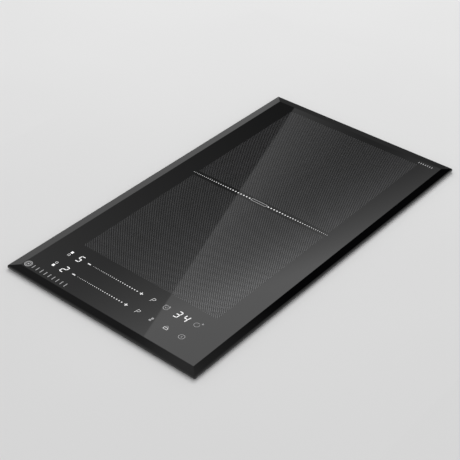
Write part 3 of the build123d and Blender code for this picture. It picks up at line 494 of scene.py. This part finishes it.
def cellFoam(tree):
    # Closed-cell foam tape: small blisters with darker pits between. The darkening follows the relief, which
    # is painted shade in the pits.
    point = tree.objectPoint()
    s = foam
    cells = tree.cells(point, s["cells"])
    cloud = tree.noise(point, s["cloud"], 3)
    # painted shade: the colour darkens where the relief is low, so the pits look shaded, with random tone
    # from the cloud
    return {"Base Color": tree.mix(cells * 0.6 + cloud * 0.4, s["dark"], s["light"]),
            "Roughness": cells * 0.2 + 0.72, "Normal": tree.bump(cells, s["relief"], 0.7)}


metal = {"Metallic": 1.0}
finishes = {
    "foam_tape": (cellFoam, {}),
    "silicone": (moulded((0.03, 0.03, 0.03), (0.06, 0.06, 0.06), 900, 0.0001, (0.3, 0.45)), {}),
    "zinc_sheet": (zincSheet, metal),
    "zinc_fastener": (platedSteel((0.50, 0.49, 0.42), (0.72, 0.71, 0.66)), metal),
    "spring_steel": (platedSteel((0.30, 0.30, 0.31), (0.56, 0.56, 0.57), 0.2), metal),
    "aluminium_sheet": (rolledAluminium, metal),
    "extruded_aluminium": (rolledAluminium, metal),
    "copper_litz": (litzWire, {"Metallic": 0.6}),
    "former_plastic": (moulded((0.50, 0.48, 0.42), (0.68, 0.66, 0.60)), {}),
    "ferrite": (sintered, {}),
    "mica": (micaPaper, {}),
    "sensor_plastic": (moulded((0.62, 0.60, 0.54), (0.80, 0.78, 0.72)), {}),
    "black_plastic": (moulded((0.016, 0.016, 0.017), (0.036, 0.036, 0.038)), {}),
    "grey_plastic": (moulded((0.20, 0.205, 0.21), (0.30, 0.31, 0.32)), {}),
    "white_plastic": (moulded((0.64, 0.64, 0.61), (0.79, 0.79, 0.77), rough=(0.35, 0.5)), {}),
    "circuit_board": (solderMask, {}),
    "capacitor_blue": (sleeved((0.03, 0.09, 0.30), (0.08, 0.20, 0.52)), {}),
    "capacitor_yellow": (sleeved((0.55, 0.38, 0.05), (0.78, 0.58, 0.12)), {}),
    "epoxy_black": (moulded((0.014, 0.014, 0.015), (0.032, 0.032, 0.033), 2500), {}),
    "display_red": (sleeved((0.06, 0.008, 0.008), (0.14, 0.02, 0.02)), {}),
    "light_guide": (sleeved((0.62, 0.62, 0.60), (0.86, 0.86, 0.84)), {}),
    "touch_foam": (cellFoam, {}),
    "wire_jacket": (sleeved((0.45, 0.06, 0.04), (0.72, 0.13, 0.08)), {}),
    "mains_jacket": (sleeved((0.04, 0.10, 0.32), (0.07, 0.16, 0.46)), {}),
    "ribbon_jacket": (ribbonCores, {}),
    "grommet_rubber": (moulded((0.022, 0.022, 0.022), (0.045, 0.045, 0.045), 1800, rough=(0.55, 0.75)), {}),
}
materials = {slot: newMaterial(slot + "_finish", varying, fixed)
             for slot, (varying, fixed) in finishes.items()}
materials["black_glass"] = blackGlass()
for subpart in frame["record"]["subparts"]:
    node = frame["nodes"][subpart["node"]]
    for place in node.material_slots:
        place.material = materials[subpart["material_slot"]]

# glass plate
glassLow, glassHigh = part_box("glass_plate")
plate = {
    "cornerRadius": 2.0 * mm,
    "cornerSteps": 7,
    "topArris": 1.6 * mm,
    "lowArris": 0.5 * mm,
    "arrisSteps": 8,
    "bevelWidth": 11.5 * mm,
    "bevelDrop": 0.5 * mm,
    "crease": 0.12 * mm,        # support rows beside each edge, so that flat faces stay flat
    "sharpest": 0.02 * mm,      # corner radius of the innermost rings
}


def platePiece():
    # A profile of (inset, height) pairs carried round a rounded rectangle: underside, small low arris,
    # upright edge, round top arris, wide shallow bevel, flat top. Each ring keeps the rectangle's
    # corner directions and shrinks its corner radius by the inset, down to a nearly sharp mitre.
    s = plate
    slope = s["bevelDrop"] / s["bevelWidth"]
    foot = glassHigh.z - s["bevelDrop"]
    lowTurn = np.linspace(0, math.pi / 2, s["arrisSteps"])
    topTurn = np.linspace(0, math.pi / 2 - math.atan(slope), s["arrisSteps"])
    lowInset = s["lowArris"] * (1 - np.sin(lowTurn))
    lowHeight = glassLow.z + s["lowArris"] * (1 - np.cos(lowTurn))
    topInset = s["topArris"] * (1 - np.cos(topTurn))
    topRise = s["topArris"] * (np.sin(topTurn) - np.sin(topTurn[-1]))
    topHeight = foot + topInset[-1] * slope + topRise
    c = s["crease"]
    middle = [(lowInset[-1], lowHeight[-1] + c), (topInset[0], topHeight[0] - c)]
    bevel = [(d, foot + d * slope) for d in (topInset[-1] + c, s["bevelWidth"] - c, s["bevelWidth"])]
    flat = [(s["bevelWidth"] + c, glassHigh.z), (s["bevelWidth"] + 5 * c, glassHigh.z)]
    profile = [(s["lowArris"] + c, glassLow.z)] + list(zip(lowInset, lowHeight)) + middle + \
        list(zip(topInset, topHeight)) + bevel + flat
    rings = []
    for inset, height in profile:
        radius = max(s["cornerRadius"] - inset, s["sharpest"])
        outline = roundedOutline(glassHigh.x - inset, glassHigh.y - inset, radius, s["cornerSteps"])
        rings.append(np.column_stack([outline, np.full(len(outline), height)]))
    count = len(rings[0])
    faces = [list(f) for f in gridFaces(len(rings), count)] + endCaps(len(rings), count)
    piece = meshPiece("glassPlate", np.vstack(rings), faces, materials["black_glass"], "chassis")
    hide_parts("glass_plate")


platePiece()
print("stage: glass plate")


# prints and lights of the touch field
printBase = glassHigh.z + 0.004 * mm
printTop = glassHigh.z + 0.030 * mm
keys = {
    "rearRow": -196.2 * mm,
    "frontRow": -221.7 * mm,
    "slider": (-66.3 * mm, 3.7 * mm),
    "sliderDots": 23,
    "firstGap": 2.5,                # relative gap between dots at the slider's start and at its end
    "lastGap": 4.2,
    "dotRadius": (0.32 * mm, 0.84 * mm),
    "digitSize": (5.2 * mm, 10.6 * mm),
    "digitSlant": 0.17,
    "digitBar": 1.12 * mm,
    "digitTrim": 0.22 * mm,         # how far each bar stops short of its corner
    "digits": (("5", -88.2 * mm, "rearRow"), ("2", -88.4 * mm, "frontRow"), ("3", 66.3 * mm, "rearRow"),
               ("4", 77.9 * mm, "rearRow")),
}
# x is where a symbol stands in its row; outlines inside a symbol are in millimetres about its centre
symbols = {
    "zones": {"x": -104.5 * mm, "shift": 2.7, "half": (1.6, 1.8), "hollow": 0.85, "line": 0.45 * mm},
    "minus": {"x": -73.2 * mm, "length": 4.6 * mm, "line": 1.5 * mm},
    "plus": {"x": 10.4 * mm, "length": 4.5 * mm, "line": 1.05 * mm},
    "boost": {"x": 28.2 * mm, "stem": ((-1.6, -3.5), (-1.6, 3.2)), "bowlCentre": (0.5, 1.5), "bowl": 1.7,
              "join": (-1.6, -0.2), "line": 0.45 * mm},
    "timer": {"x": 48.4 * mm, "radius": 3.6 * mm, "line": 0.62 * mm,
              "hands": ((-1.6, 0.7), (0, -0.9), (2.0, 1.3)), "handLine": 0.6 * mm,
              "earRadius": 4.8 * mm, "ears": (32, 118), "earSweep": 30, "earLine": 0.7 * mm},
    "linked": {"x": 49.0 * mm, "offset": (0.35 * mm, 1.75 * mm), "radius": 1.6 * mm},
    "lock": {"x": 71.3 * mm, "body": ((-2.7, -2.4), (2.7, -2.4), (2.7, 0.4), (-2.7, 0.4)), "line": 0.52 * mm,
             "bow": 1.7, "bowFoot": 1.0, "bowLevel": 1.3, "bowLine": 0.6 * mm},
    "pause": {"x": 93.8 * mm, "radius": 3.4 * mm, "sweep": (60, 390), "line": 0.5 * mm,
              "spark": (4.6 * mm, 5.0 * mm), "sparkLength": 2.8 * mm, "sparkLine": 0.7 * mm},
    "power": {"x": 94.0 * mm, "radius": 3.6 * mm, "line": 0.6 * mm, "bar": ((0, -1.4), (0, 1.5)),
              "barLine": 0.7 * mm},
}


def growingPlaces(start, end, count, firstGap, lastGap):
    # Places from start to end whose gaps grow evenly from firstGap to lastGap, in proportion.
    gaps = np.linspace(firstGap, lastGap, count - 1)
    steps = np.concatenate([[0], np.cumsum(gaps)]) / gaps.sum()
    return start + (end - start) * steps


def dotRow(y, start, end, count, radii, gaps):
    # A row of discs whose gaps and radii grow evenly from start to end.
    places = growingPlaces(start, end, count, *gaps)
    sizes = np.linspace(*radii, count)
    return [discSlab((x, y), r, printBase, printTop, 12) for x, r in zip(places, sizes)]


def stroke(points, width, closed=False):
    # A printed line on the glass.
    return strokeSlab(points, width, printBase, printTop, closed)


def moved(points, centre):
    # An outline in millimetres, carried to its centre.
    return np.asarray(points, float) * mm + np.array(centre)


def digit(value, centre):
    # Seven slanted segments: each is a hexagonal bar, shifted in X by slant times its height.
    lit = {"2": "abged", "3": "abgcd", "4": "fgbc", "5": "afgcd"}[value]
    width, height = keys["digitSize"]
    half, thick, trim = height / 2, keys["digitBar"] / 2, keys["digitTrim"]
    ends = {"a": ((0, height), (width, height)), "b": ((width, height), (width, half)),
            "c": ((width, half), (width, 0)), "d": ((0, 0), (width, 0)), "e": ((0, half), (0, 0)),
            "f": ((0, height), (0, half)), "g": ((0, half), (width, half))}
    bars = []
    for name in lit:
        a, b = [np.array(p) for p in ends[name]]
        along = (b - a) / np.linalg.norm(b - a)
        side = np.array([-along[1], along[0]])
        a, b = a + along * trim, b - along * trim
        outline = [a, a + (along - side) * thick, b + (-along - side) * thick, b,
                   b + (side - along) * thick, a + (along + side) * thick]
        outline = np.array(outline) - (width / 2, half)
        outline[:, 0] += keys["digitSlant"] * outline[:, 1]
        bars.append(polygonSlab(outline + centre, printBase, printTop))
    return bars


def zoneKey(centre, litUpper):
    # Two small stacked squares; the lit one is solid and the other an outline.
    s = symbols["zones"]
    filled, hollow = (s["shift"], -s["shift"]) if litUpper else (-s["shift"], s["shift"])
    square = np.array([(-1, -1), (1, -1), (1, 1), (-1, 1)]) * s["half"]
    solid = polygonSlab(moved(square + (0, filled), centre), printBase, printTop)
    outline = stroke(moved(square * s["hollow"] + (0, hollow), centre), s["line"], True)
    return solid, outline


def boostKey(centre):
    # An upright stem with a half-round bowl: the letter P, leaning like the digits.
    s = symbols["boost"]
    path = np.vstack([s["stem"], arc(s["bowlCentre"], s["bowl"], 90, -90, 12), [s["join"]]])
    path[:, 0] += keys["digitSlant"] * path[:, 1]
    return stroke(moved(path, centre), s["line"])


def bar(centre, length, width):
    # A level stroke about its centre.
    half = length / 2
    return stroke(np.array([(-half, 0), (half, 0)]) + centre, width)


def upright(centre, length, width):
    # A standing stroke about its centre.
    half = length / 2
    return stroke(np.array([(0, -half), (0, half)]) + centre, width)


def ring(centre, radius, width, end=345, steps=28):
    # A closed circular stroke.
    return stroke(arc(centre, radius, 0, end, steps)[:-1], width, True)


def plusSign(centre, length, width):
    # A bar with a short upright above and one below, so that nothing overlaps.
    arm = (length - width) / 2
    offset = np.array((0, (width + arm) / 2))
    return [bar(centre, length, width), upright(centre + offset, arm, width),
            upright(centre - offset, arm, width)]


def keyShapes():
    # Every symbol of the touch field, in a lit list, a soft list and a printed list.
    rear, front = keys["rearRow"], keys["frontRow"]
    lit, soft, printed = [], [], []
    for value, x, row in keys["digits"]:
        lit += digit(value, (x, keys[row]))
    minus, plus = symbols["minus"], symbols["plus"]
    for y, upper in ((rear, True), (front, False)):
        solid, outline = zoneKey((symbols["zones"]["x"], y), upper)
        lit.append(solid)
        soft.append(outline)
        soft.append(bar((minus["x"], y), minus["length"], minus["line"]))
        soft += dotRow(y, *keys["slider"], keys["sliderDots"], keys["dotRadius"],
                       (keys["firstGap"], keys["lastGap"]))
        soft += plusSign((plus["x"], y), plus["length"], plus["line"])
        soft.append(boostKey((symbols["boost"]["x"], y)))
    # timer: dial with two hands and two ears
    s = symbols["timer"]
    timer = (s["x"], rear)
    printed.append(ring(timer, s["radius"], s["line"]))
    printed.append(stroke(moved(s["hands"], timer), s["handLine"]))
    for start in s["ears"]:
        printed.append(stroke(arc(timer, s["earRadius"], start, start + s["earSweep"], 5), s["earLine"]))
    # linked zones: two dots on a slant
    s = symbols["linked"]
    for side in (-1, 1):
        place = np.array((s["x"], front)) + side * np.array(s["offset"])
        printed.append(discSlab(place, s["radius"], printBase, printTop))
    # lock: a body with a bow
    s = symbols["lock"]
    lockPlace = (s["x"], front)
    soft.append(stroke(moved(s["body"], lockPlace), s["line"], True))
    bow = np.vstack([[(-s["bow"], s["bowFoot"])], arc((0, s["bowLevel"]), s["bow"], 180, 0, 12),
                     [(s["bow"], s["bowFoot"])]])
    printed.append(stroke(moved(bow, lockPlace), s["bowLine"]))
    # pause: an open ring with a spark beside it
    s = symbols["pause"]
    ringPlace = np.array((s["x"], rear))
    printed.append(stroke(arc(ringPlace, s["radius"], *s["sweep"], 24), s["line"]))
    printed += plusSign(ringPlace + s["spark"], s["sparkLength"], s["sparkLine"])
    # power: ring and bar
    s = symbols["power"]
    power = (s["x"], front)
    printed.append(ring(power, s["radius"], s["line"]))
    printed.append(stroke(moved(s["bar"], power), s["barLine"]))
    return lit, soft, printed


strip = {
    "y": 31.8 * mm,
    "left": (-108.5 * mm, -15.3 * mm),
    "right": (105.8 * mm, 14.9 * mm),
    "dots": 26,
    "gaps": (2.6, 4.6),
    "radii": (0.40 * mm, 1.12 * mm),
    "barHalf": (12.0 * mm, 1.9 * mm),
    "barCorner": 1.0 * mm,
    "barLine": 0.75 * mm,
}


def stripShapes():
    # Dots that shrink from the centre outwards, and between them an outlined bar.
    s = strip
    dots = dotRow(s["y"], *s["left"], s["dots"], s["radii"], s["gaps"])
    dots += dotRow(s["y"], *s["right"], s["dots"], s["radii"], s["gaps"])
    outline = roundedOutline(*s["barHalf"], s["barCorner"], 5) + (0, s["y"])
    return dots, [stroke(outline, s["barLine"], True)]


coilMark = {
    "ring": (-128.4 * mm, -241.6 * mm),
    "radii": (1.3 * mm, 3.2 * mm, 4.7 * mm),
    "ringLine": 0.8 * mm,
    "bars": (-119.5 * mm, -66.5 * mm),
    "barCount": 9,
    "barHeight": 6.2 * mm,
    "line": 1.05 * mm,
    "notes": (104.0 * mm, 124.0 * mm),      # a short row of small bars at the rear right corner
    "noteLevel": 242.6 * mm,
    "noteCount": 7,
    "noteHeight": 3.0 * mm,
}


def coilMarkShapes():
    # A coil seen from above, as a dot in two rings, and beside it a plain row of upright bars.
    s = coilMark
    centre = np.array(s["ring"])
    shapes = [discSlab(centre, s["radii"][0], printBase, printTop)]
    shapes += [ring(centre, radius, s["ringLine"], 348, 30) for radius in s["radii"][1:]]
    for x in np.linspace(*s["bars"], s["barCount"]):
        shapes.append(upright((x, centre[1]), s["barHeight"], s["line"]))
    for x in np.linspace(*s["notes"], s["noteCount"]):
        shapes.append(upright((x, s["noteLevel"]), s["noteHeight"], s["line"]))
    return shapes


inks = {
    "bright": 0.62,                 # emission of the digits, and of the sliders and dots
    "dim": 0.38,
    "litCloud": 700,
    "litColours": ((0.55, 0.55, 0.55), (0.7, 0.7, 0.7)),
    "glow": ((1.0, 1.0, 1.0), (0.8, 0.8, 0.8)),
    "glowShare": (0.0, 0.5),
    "printCloud": 1800,
    "printColours": ((0.34, 0.34, 0.345), (0.50, 0.50, 0.505)),
    "rough": 0.35,
}


def litInk(level):
    # Ink lit from below, with slight unevenness.
    def varying(tree):
        cloud = tree.noise(tree.objectPoint(), inks["litCloud"], 2)
        share = cloud.smooth(*noiseMiddle, *inks["glowShare"])
        return {"Base Color": tree.mix(cloud, *inks["litColours"]),
                "Emission Color": tree.mix(share, *inks["glow"]), "Roughness": cloud * 0.2 + inks["rough"]}
    return newMaterial(f"lit_ink_{level:.2f}".replace(".", "_"), varying, {"Emission Strength": level})


def printedInk(tree):
    # Fired ceramic ink: pale grey with a fine speckle.
    cloud = tree.noise(tree.objectPoint(), inks["printCloud"], 2)
    return {"Base Color": tree.mix(cloud.smooth(*noiseMiddle), *inks["printColours"]),
            "Roughness": cloud * 0.25 + inks["rough"]}


def touchField():
    # One piece for each group of shapes that share an ink.
    lit, soft, printed = keyShapes()
    stripDots, stripBar = stripShapes()
    bright, dim = litInk(inks["bright"]), litInk(inks["dim"])
    ink = newMaterial("printed_ink", printedInk, {})
    for name, shapes, material in (("litDigitsAndKeys", lit, bright), ("litSliders", soft, dim),
                                   ("keyPrints", printed + stripBar, ink),
                                   ("bridgeStripDots", stripDots, dim),
                                   ("coilMarkPrint", coilMarkShapes(), ink)):
        points, faces = gather(shapes)
        meshPiece(name, points, faces, material, "chassis")


touchField()
print("stage: prints")

# clamp screws with real threads
thread = {
    "pitch": 0.8 * mm,
    "root": 1.62 * mm,
    "crest": 2.0 * mm,
    "around": 20,
    "perTurn": 6,
    "place": (113.5 * mm, 233.0 * mm),      # of the screw in each corner, mirrored
}
head = {
    "height": 2.2 * mm,
    "radius": 3.5 * mm,
    "steps": 6,
    "around": 32,
    "crown": 0.55,                  # of the radius, where the quarter round starts
    "recessRadii": (0.42, 0.2, 0.02),
    "recessRise": (1, 0.8, 0.7),
    "starDepth": (0.1, 0.35, 0.5),
    "starShare": 0.9,
    "recessFloor": 0.45,
}


def screwHead(centre, low, high):
    # A pan head that faces down: rings of a quarter-round profile, closed by a disc sunk as a star recess,
    # whose depth follows the fourth power of the cosine of twice the angle.
    s = head
    bend = np.linspace(0, math.pi / 2, s["steps"])[1:]
    crown = s["crown"]
    radius = s["radius"] * np.concatenate([[crown, 1], crown + (1 - crown) * np.cos(bend), s["recessRadii"]])
    rise = np.concatenate([[0, 0], np.sin(bend), s["recessRise"]])
    turn = np.arange(s["around"]) * 2 * math.pi / s["around"]
    star = np.cos(2 * turn) ** 4
    level = np.repeat(rise[:, None], s["around"], 1)
    level[-3:] = 1 - (1 - level[-3:] + np.array(s["starDepth"])[:, None]) * star[None, :] * s["starShare"]
    level[-1] = s["recessFloor"]
    grid = np.stack([centre[0] + radius[:, None] * np.cos(turn), centre[1] + radius[:, None] * np.sin(turn),
                     high - level * (high - low)], 2).reshape(-1, 3)
    faces = [list(f) for f in gridFaces(len(radius), s["around"])] + endCaps(len(radius), s["around"])
    return grid, [f[::-1] for f in faces]


def clampScrews():
    # A thread: radius = root + (crest - root) * triangle wave of (height / pitch - turn), on a grid of
    # turn by height. It stands for the plain CAD shanks; the heads have a cross recess.
    s = thread
    low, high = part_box("clamp_screws")
    seat = low.z + head["height"]
    turn = np.arange(s["around"]) * 2 * math.pi / s["around"]
    rows = int((high.z - seat) / s["pitch"] * s["perTurn"])
    height = np.linspace(seat, high.z, rows)[:, None]
    phase = (height / s["pitch"] - turn / (2 * math.pi)) % 1.0
    radius = s["root"] + (s["crest"] - s["root"]) * (1 - np.abs(2 * phase - 1))
    faces = [list(f) for f in gridFaces(rows, s["around"])] + endCaps(rows, s["around"])
    shapes = []
    for signX, signY in ((-1, -1), (-1, 1), (1, -1), (1, 1)):
        centre = (signX * s["place"][0], signY * s["place"][1])
        grid = np.stack([centre[0] + radius * np.cos(turn), centre[1] + radius * np.sin(turn),
                         np.repeat(height, s["around"], 1)], 2).reshape(-1, 3)
        shapes += [(grid, faces), screwHead(centre, low.z, seat)]
    points, faces = gather(shapes)
    piece = meshPiece("threadedClampScrews", points, faces, materials["zinc_fastener"], "chassis",
                      sharpAngle=35)
    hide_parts("clamp_screws")


clampScrews()
print("stage: clamp screws")

# camera
view = {
    "place": (0.74407, -0.93810, 0.91587),
    "right": (0.76971, 0.63829, 0.01120),
    "up": (-0.38647, 0.45194, 0.80399),
    "back": (0.50812, -0.62317, 0.59454),
    "lens": 92.52,
    "sensor": 36.0,
    "nearest": 0.05,
}
camera = bpy.data.cameras.new("camera")
camera.lens = view["lens"]
camera.sensor_width = view["sensor"]
camera.clip_start = view["nearest"]
cameraObject = bpy.data.objects.new("camera", camera)
bpy.context.scene.collection.objects.link(cameraObject)
axes = Matrix((view["right"], view["up"], view["back"])).transposed().to_4x4()
cameraObject.matrix_world = Matrix.Translation(view["place"]) @ axes
bpy.context.scene.camera = cameraObject

# worktop, floor and light
studio = {
    "worktopOuter": (356 * mm, 470 * mm),     # half sizes of the pale sheet that the cooktop is set into
    "cutout": (135 * mm, 245 * mm),
    "worktopLevel": 49.95 * mm,
    "floorHalf": 6.0,
    "floorLevel": -0.5 * mm,
    "floorColours": ((0.72, 0.72, 0.72), (0.76, 0.76, 0.76)),
    "keyPlace": (-0.9, 1.3, 1.9),
    "keySize": 1.6,
    "keyPower": 22.0,
}


def paleSheet(name, level, outer, inner=None):
    # A flat sheet; with inner half sizes it is a frame of four strips round a cut-out.
    points = [(x, y, level) for halfX, halfY in ([outer] if inner is None else [outer, inner])
              for x, y in ((-halfX, -halfY), (halfX, -halfY), (halfX, halfY), (-halfX, halfY))]
    strips = [(0, 1, 5, 4), (1, 2, 6, 5), (2, 3, 7, 6), (3, 0, 4, 7)]
    faces = [(0, 1, 2, 3)] if inner is None else strips
    mesh = bpy.data.meshes.new(name)
    mesh.from_pydata(points, [], faces)
    sheet = bpy.data.objects.new(name, mesh)
    bpy.context.scene.collection.objects.link(sheet)
    mesh.materials.append(floorMaterial)
    return sheet


def paleFloor(tree):
    # Matt pale grey with broad, faint clouds.
    return {"Base Color": tree.mix(tree.noise(tree.objectPoint(), 3, 2), *studio["floorColours"])}


floorMaterial = newMaterial("pale_floor", paleFloor, {"Roughness": 0.9, "Specular IOR Level": 0.1})
worktop = paleSheet("worktop", studio["worktopLevel"], studio["worktopOuter"], studio["cutout"])
worktop.visible_shadow = False
worktop.visible_diffuse = False
worktop.visible_glossy = False
paleSheet("floor", studio["floorLevel"], (studio["floorHalf"], studio["floorHalf"]))

key = bpy.data.lights.new("key", "AREA")
key.energy = studio["keyPower"]
key.size = studio["keySize"]
keyObject = bpy.data.objects.new("key", key)
keyObject.location = studio["keyPlace"]
keyObject.rotation_euler = Vector(studio["keyPlace"]).to_track_quat("Z", "Y").to_euler()
keyObject.visible_glossy = False
bpy.context.scene.collection.objects.link(keyObject)


# places are millimetres on the glass; the levels are the light's strength there
room = {
    "lowestSlope": 0.04,
    "depth": (-420.0, 700.0),
    "wall": {"fade": 280.0, "level": 0.21, "from": -65.0, "span": 84, "power": 1.5, "gain": 0.66,
             "most": 3.0},
    "window": {"fade": 215.0, "level": 0.59, "most": 1.62, "round": 0.35},
    "windowRight": {"from": 38.0, "span": 57, "power": 1.7, "gain": 0.6},
    "windowLeft": {"from": 15.0, "span": 91, "power": 1.3, "gain": 0.98},
    "slant": {"point": (61.8, -246.5), "across": (489.8, 168.0), "length": 518, "soft": 0.8},
    "leftBevel": {"level": 1.12, "x": (-185, -255)},
    "rightBevel": {"y": (-130, -330), "levels": (0.0, 0.27), "x": (165, 225)},
    "frontBevel": {"x": (80, 170), "levels": (0.165, 0.42), "y": (-275, -330), "right": (330, 240),
                   "left": (-300, -150)},
    "rearBevel": {"level": 0.23, "y": (330, 420), "x": (-330, -260)},
    "distance": {"level": 0.55, "range": (620, 1100)},
    "seenLevel": 0.80,
    "fillLevel": 0.72,
}


def softRoom(tree):
    # The room as the glass mirrors it. A mirrored ray's slope, taken down to the glass from the main
    # camera, gives the spot (x, y) in millimetres where that light shows in the main view: a window lies to
    # the right of a slanting line, brightest towards the front, and a dimmer wall to its left. Both fade as
    # exp(-y / fade); a swell adds gain * (distance / span) ** power.
    s = room
    dx, dy, dz = tree.axes(tree.node("ShaderNodeTexCoord", output="Generated"))
    steep = dz.max(s["lowestSlope"])
    reach = (view["place"][2] - glassHigh.z) / mm
    x = dx / steep * reach + view["place"][0] / mm
    y = dy / steep * reach + view["place"][1] / mm
    depth = y.max(s["depth"][0]).min(s["depth"][1])

    def fade(part):
        return (depth * (-1 / part["fade"])).exponential() * part["level"]

    def swell(distance, part):
        return (distance.max(0.0) * (1 / part["span"])).power(part["power"]) * part["gain"]

    def blend(below, above, share):
        return below + (above - below) * share

    wall = fade(s["wall"]) * (swell(x - s["wall"]["from"], s["wall"]) + 1.0).min(s["wall"]["most"])
    right, left = s["windowRight"], s["windowLeft"]
    window = fade(s["window"]) * (swell(x - right["from"], right) + swell(left["from"] - x, left) + 1.0)
    window = window.math("SMOOTH_MIN", s["window"]["most"], s["window"]["round"])
    slant = s["slant"]
    (pointX, pointY), (acrossX, acrossY) = slant["point"], slant["across"]
    across = ((x - pointX) * acrossX + (y - pointY) * acrossY) * (1 / slant["length"])
    light = blend(wall, window, across.smooth(-slant["soft"], slant["soft"]))
    # what only the bevels and other views mirror
    edge = s["leftBevel"]
    light = blend(light, edge["level"], x.smooth(*edge["x"]))
    edge = s["rightBevel"]
    light = blend(light, y.smooth(*edge["y"], *edge["levels"]), x.smooth(*edge["x"]))
    edge = s["frontBevel"]
    light = blend(light, x.smooth(*edge["x"], *edge["levels"]),
                  y.smooth(*edge["y"]) * x.smooth(*edge["right"]) * x.smooth(*edge["left"]))
    edge = s["rearBevel"]
    light = blend(light, edge["level"], y.smooth(*edge["y"]) * x.smooth(*edge["x"]))
    light = blend(light, s["distance"]["level"], (x * x + y * y).power(0.5).smooth(*s["distance"]["range"]))
    white = (1, 1, 1, 1)
    seen, fill, mirrored = [tree.node("ShaderNodeBackground", None, {"Color": white, "Strength": level})
                            for level in (s["seenLevel"], s["fillLevel"], light)]
    isCamera, isGlossy = [tree.node("ShaderNodeLightPath", output=name)
                          for name in ("Is Camera Ray", "Is Glossy Ray")]
    other = tree.node("ShaderNodeMixShader", None, {0: isGlossy, 1: fill, 2: mirrored})
    surface = tree.node("ShaderNodeMixShader", None, {0: isCamera, 1: other, 2: seen})
    tree.node("ShaderNodeOutputWorld", None, {"Surface": surface}, None)


world = bpy.data.worlds.new("soft_room")
world.use_nodes = True
softRoom(Tree(world.node_tree))
bpy.context.scene.world = world
bpy.context.scene.view_settings.view_transform = "Standard"
print("stage: camera and light")
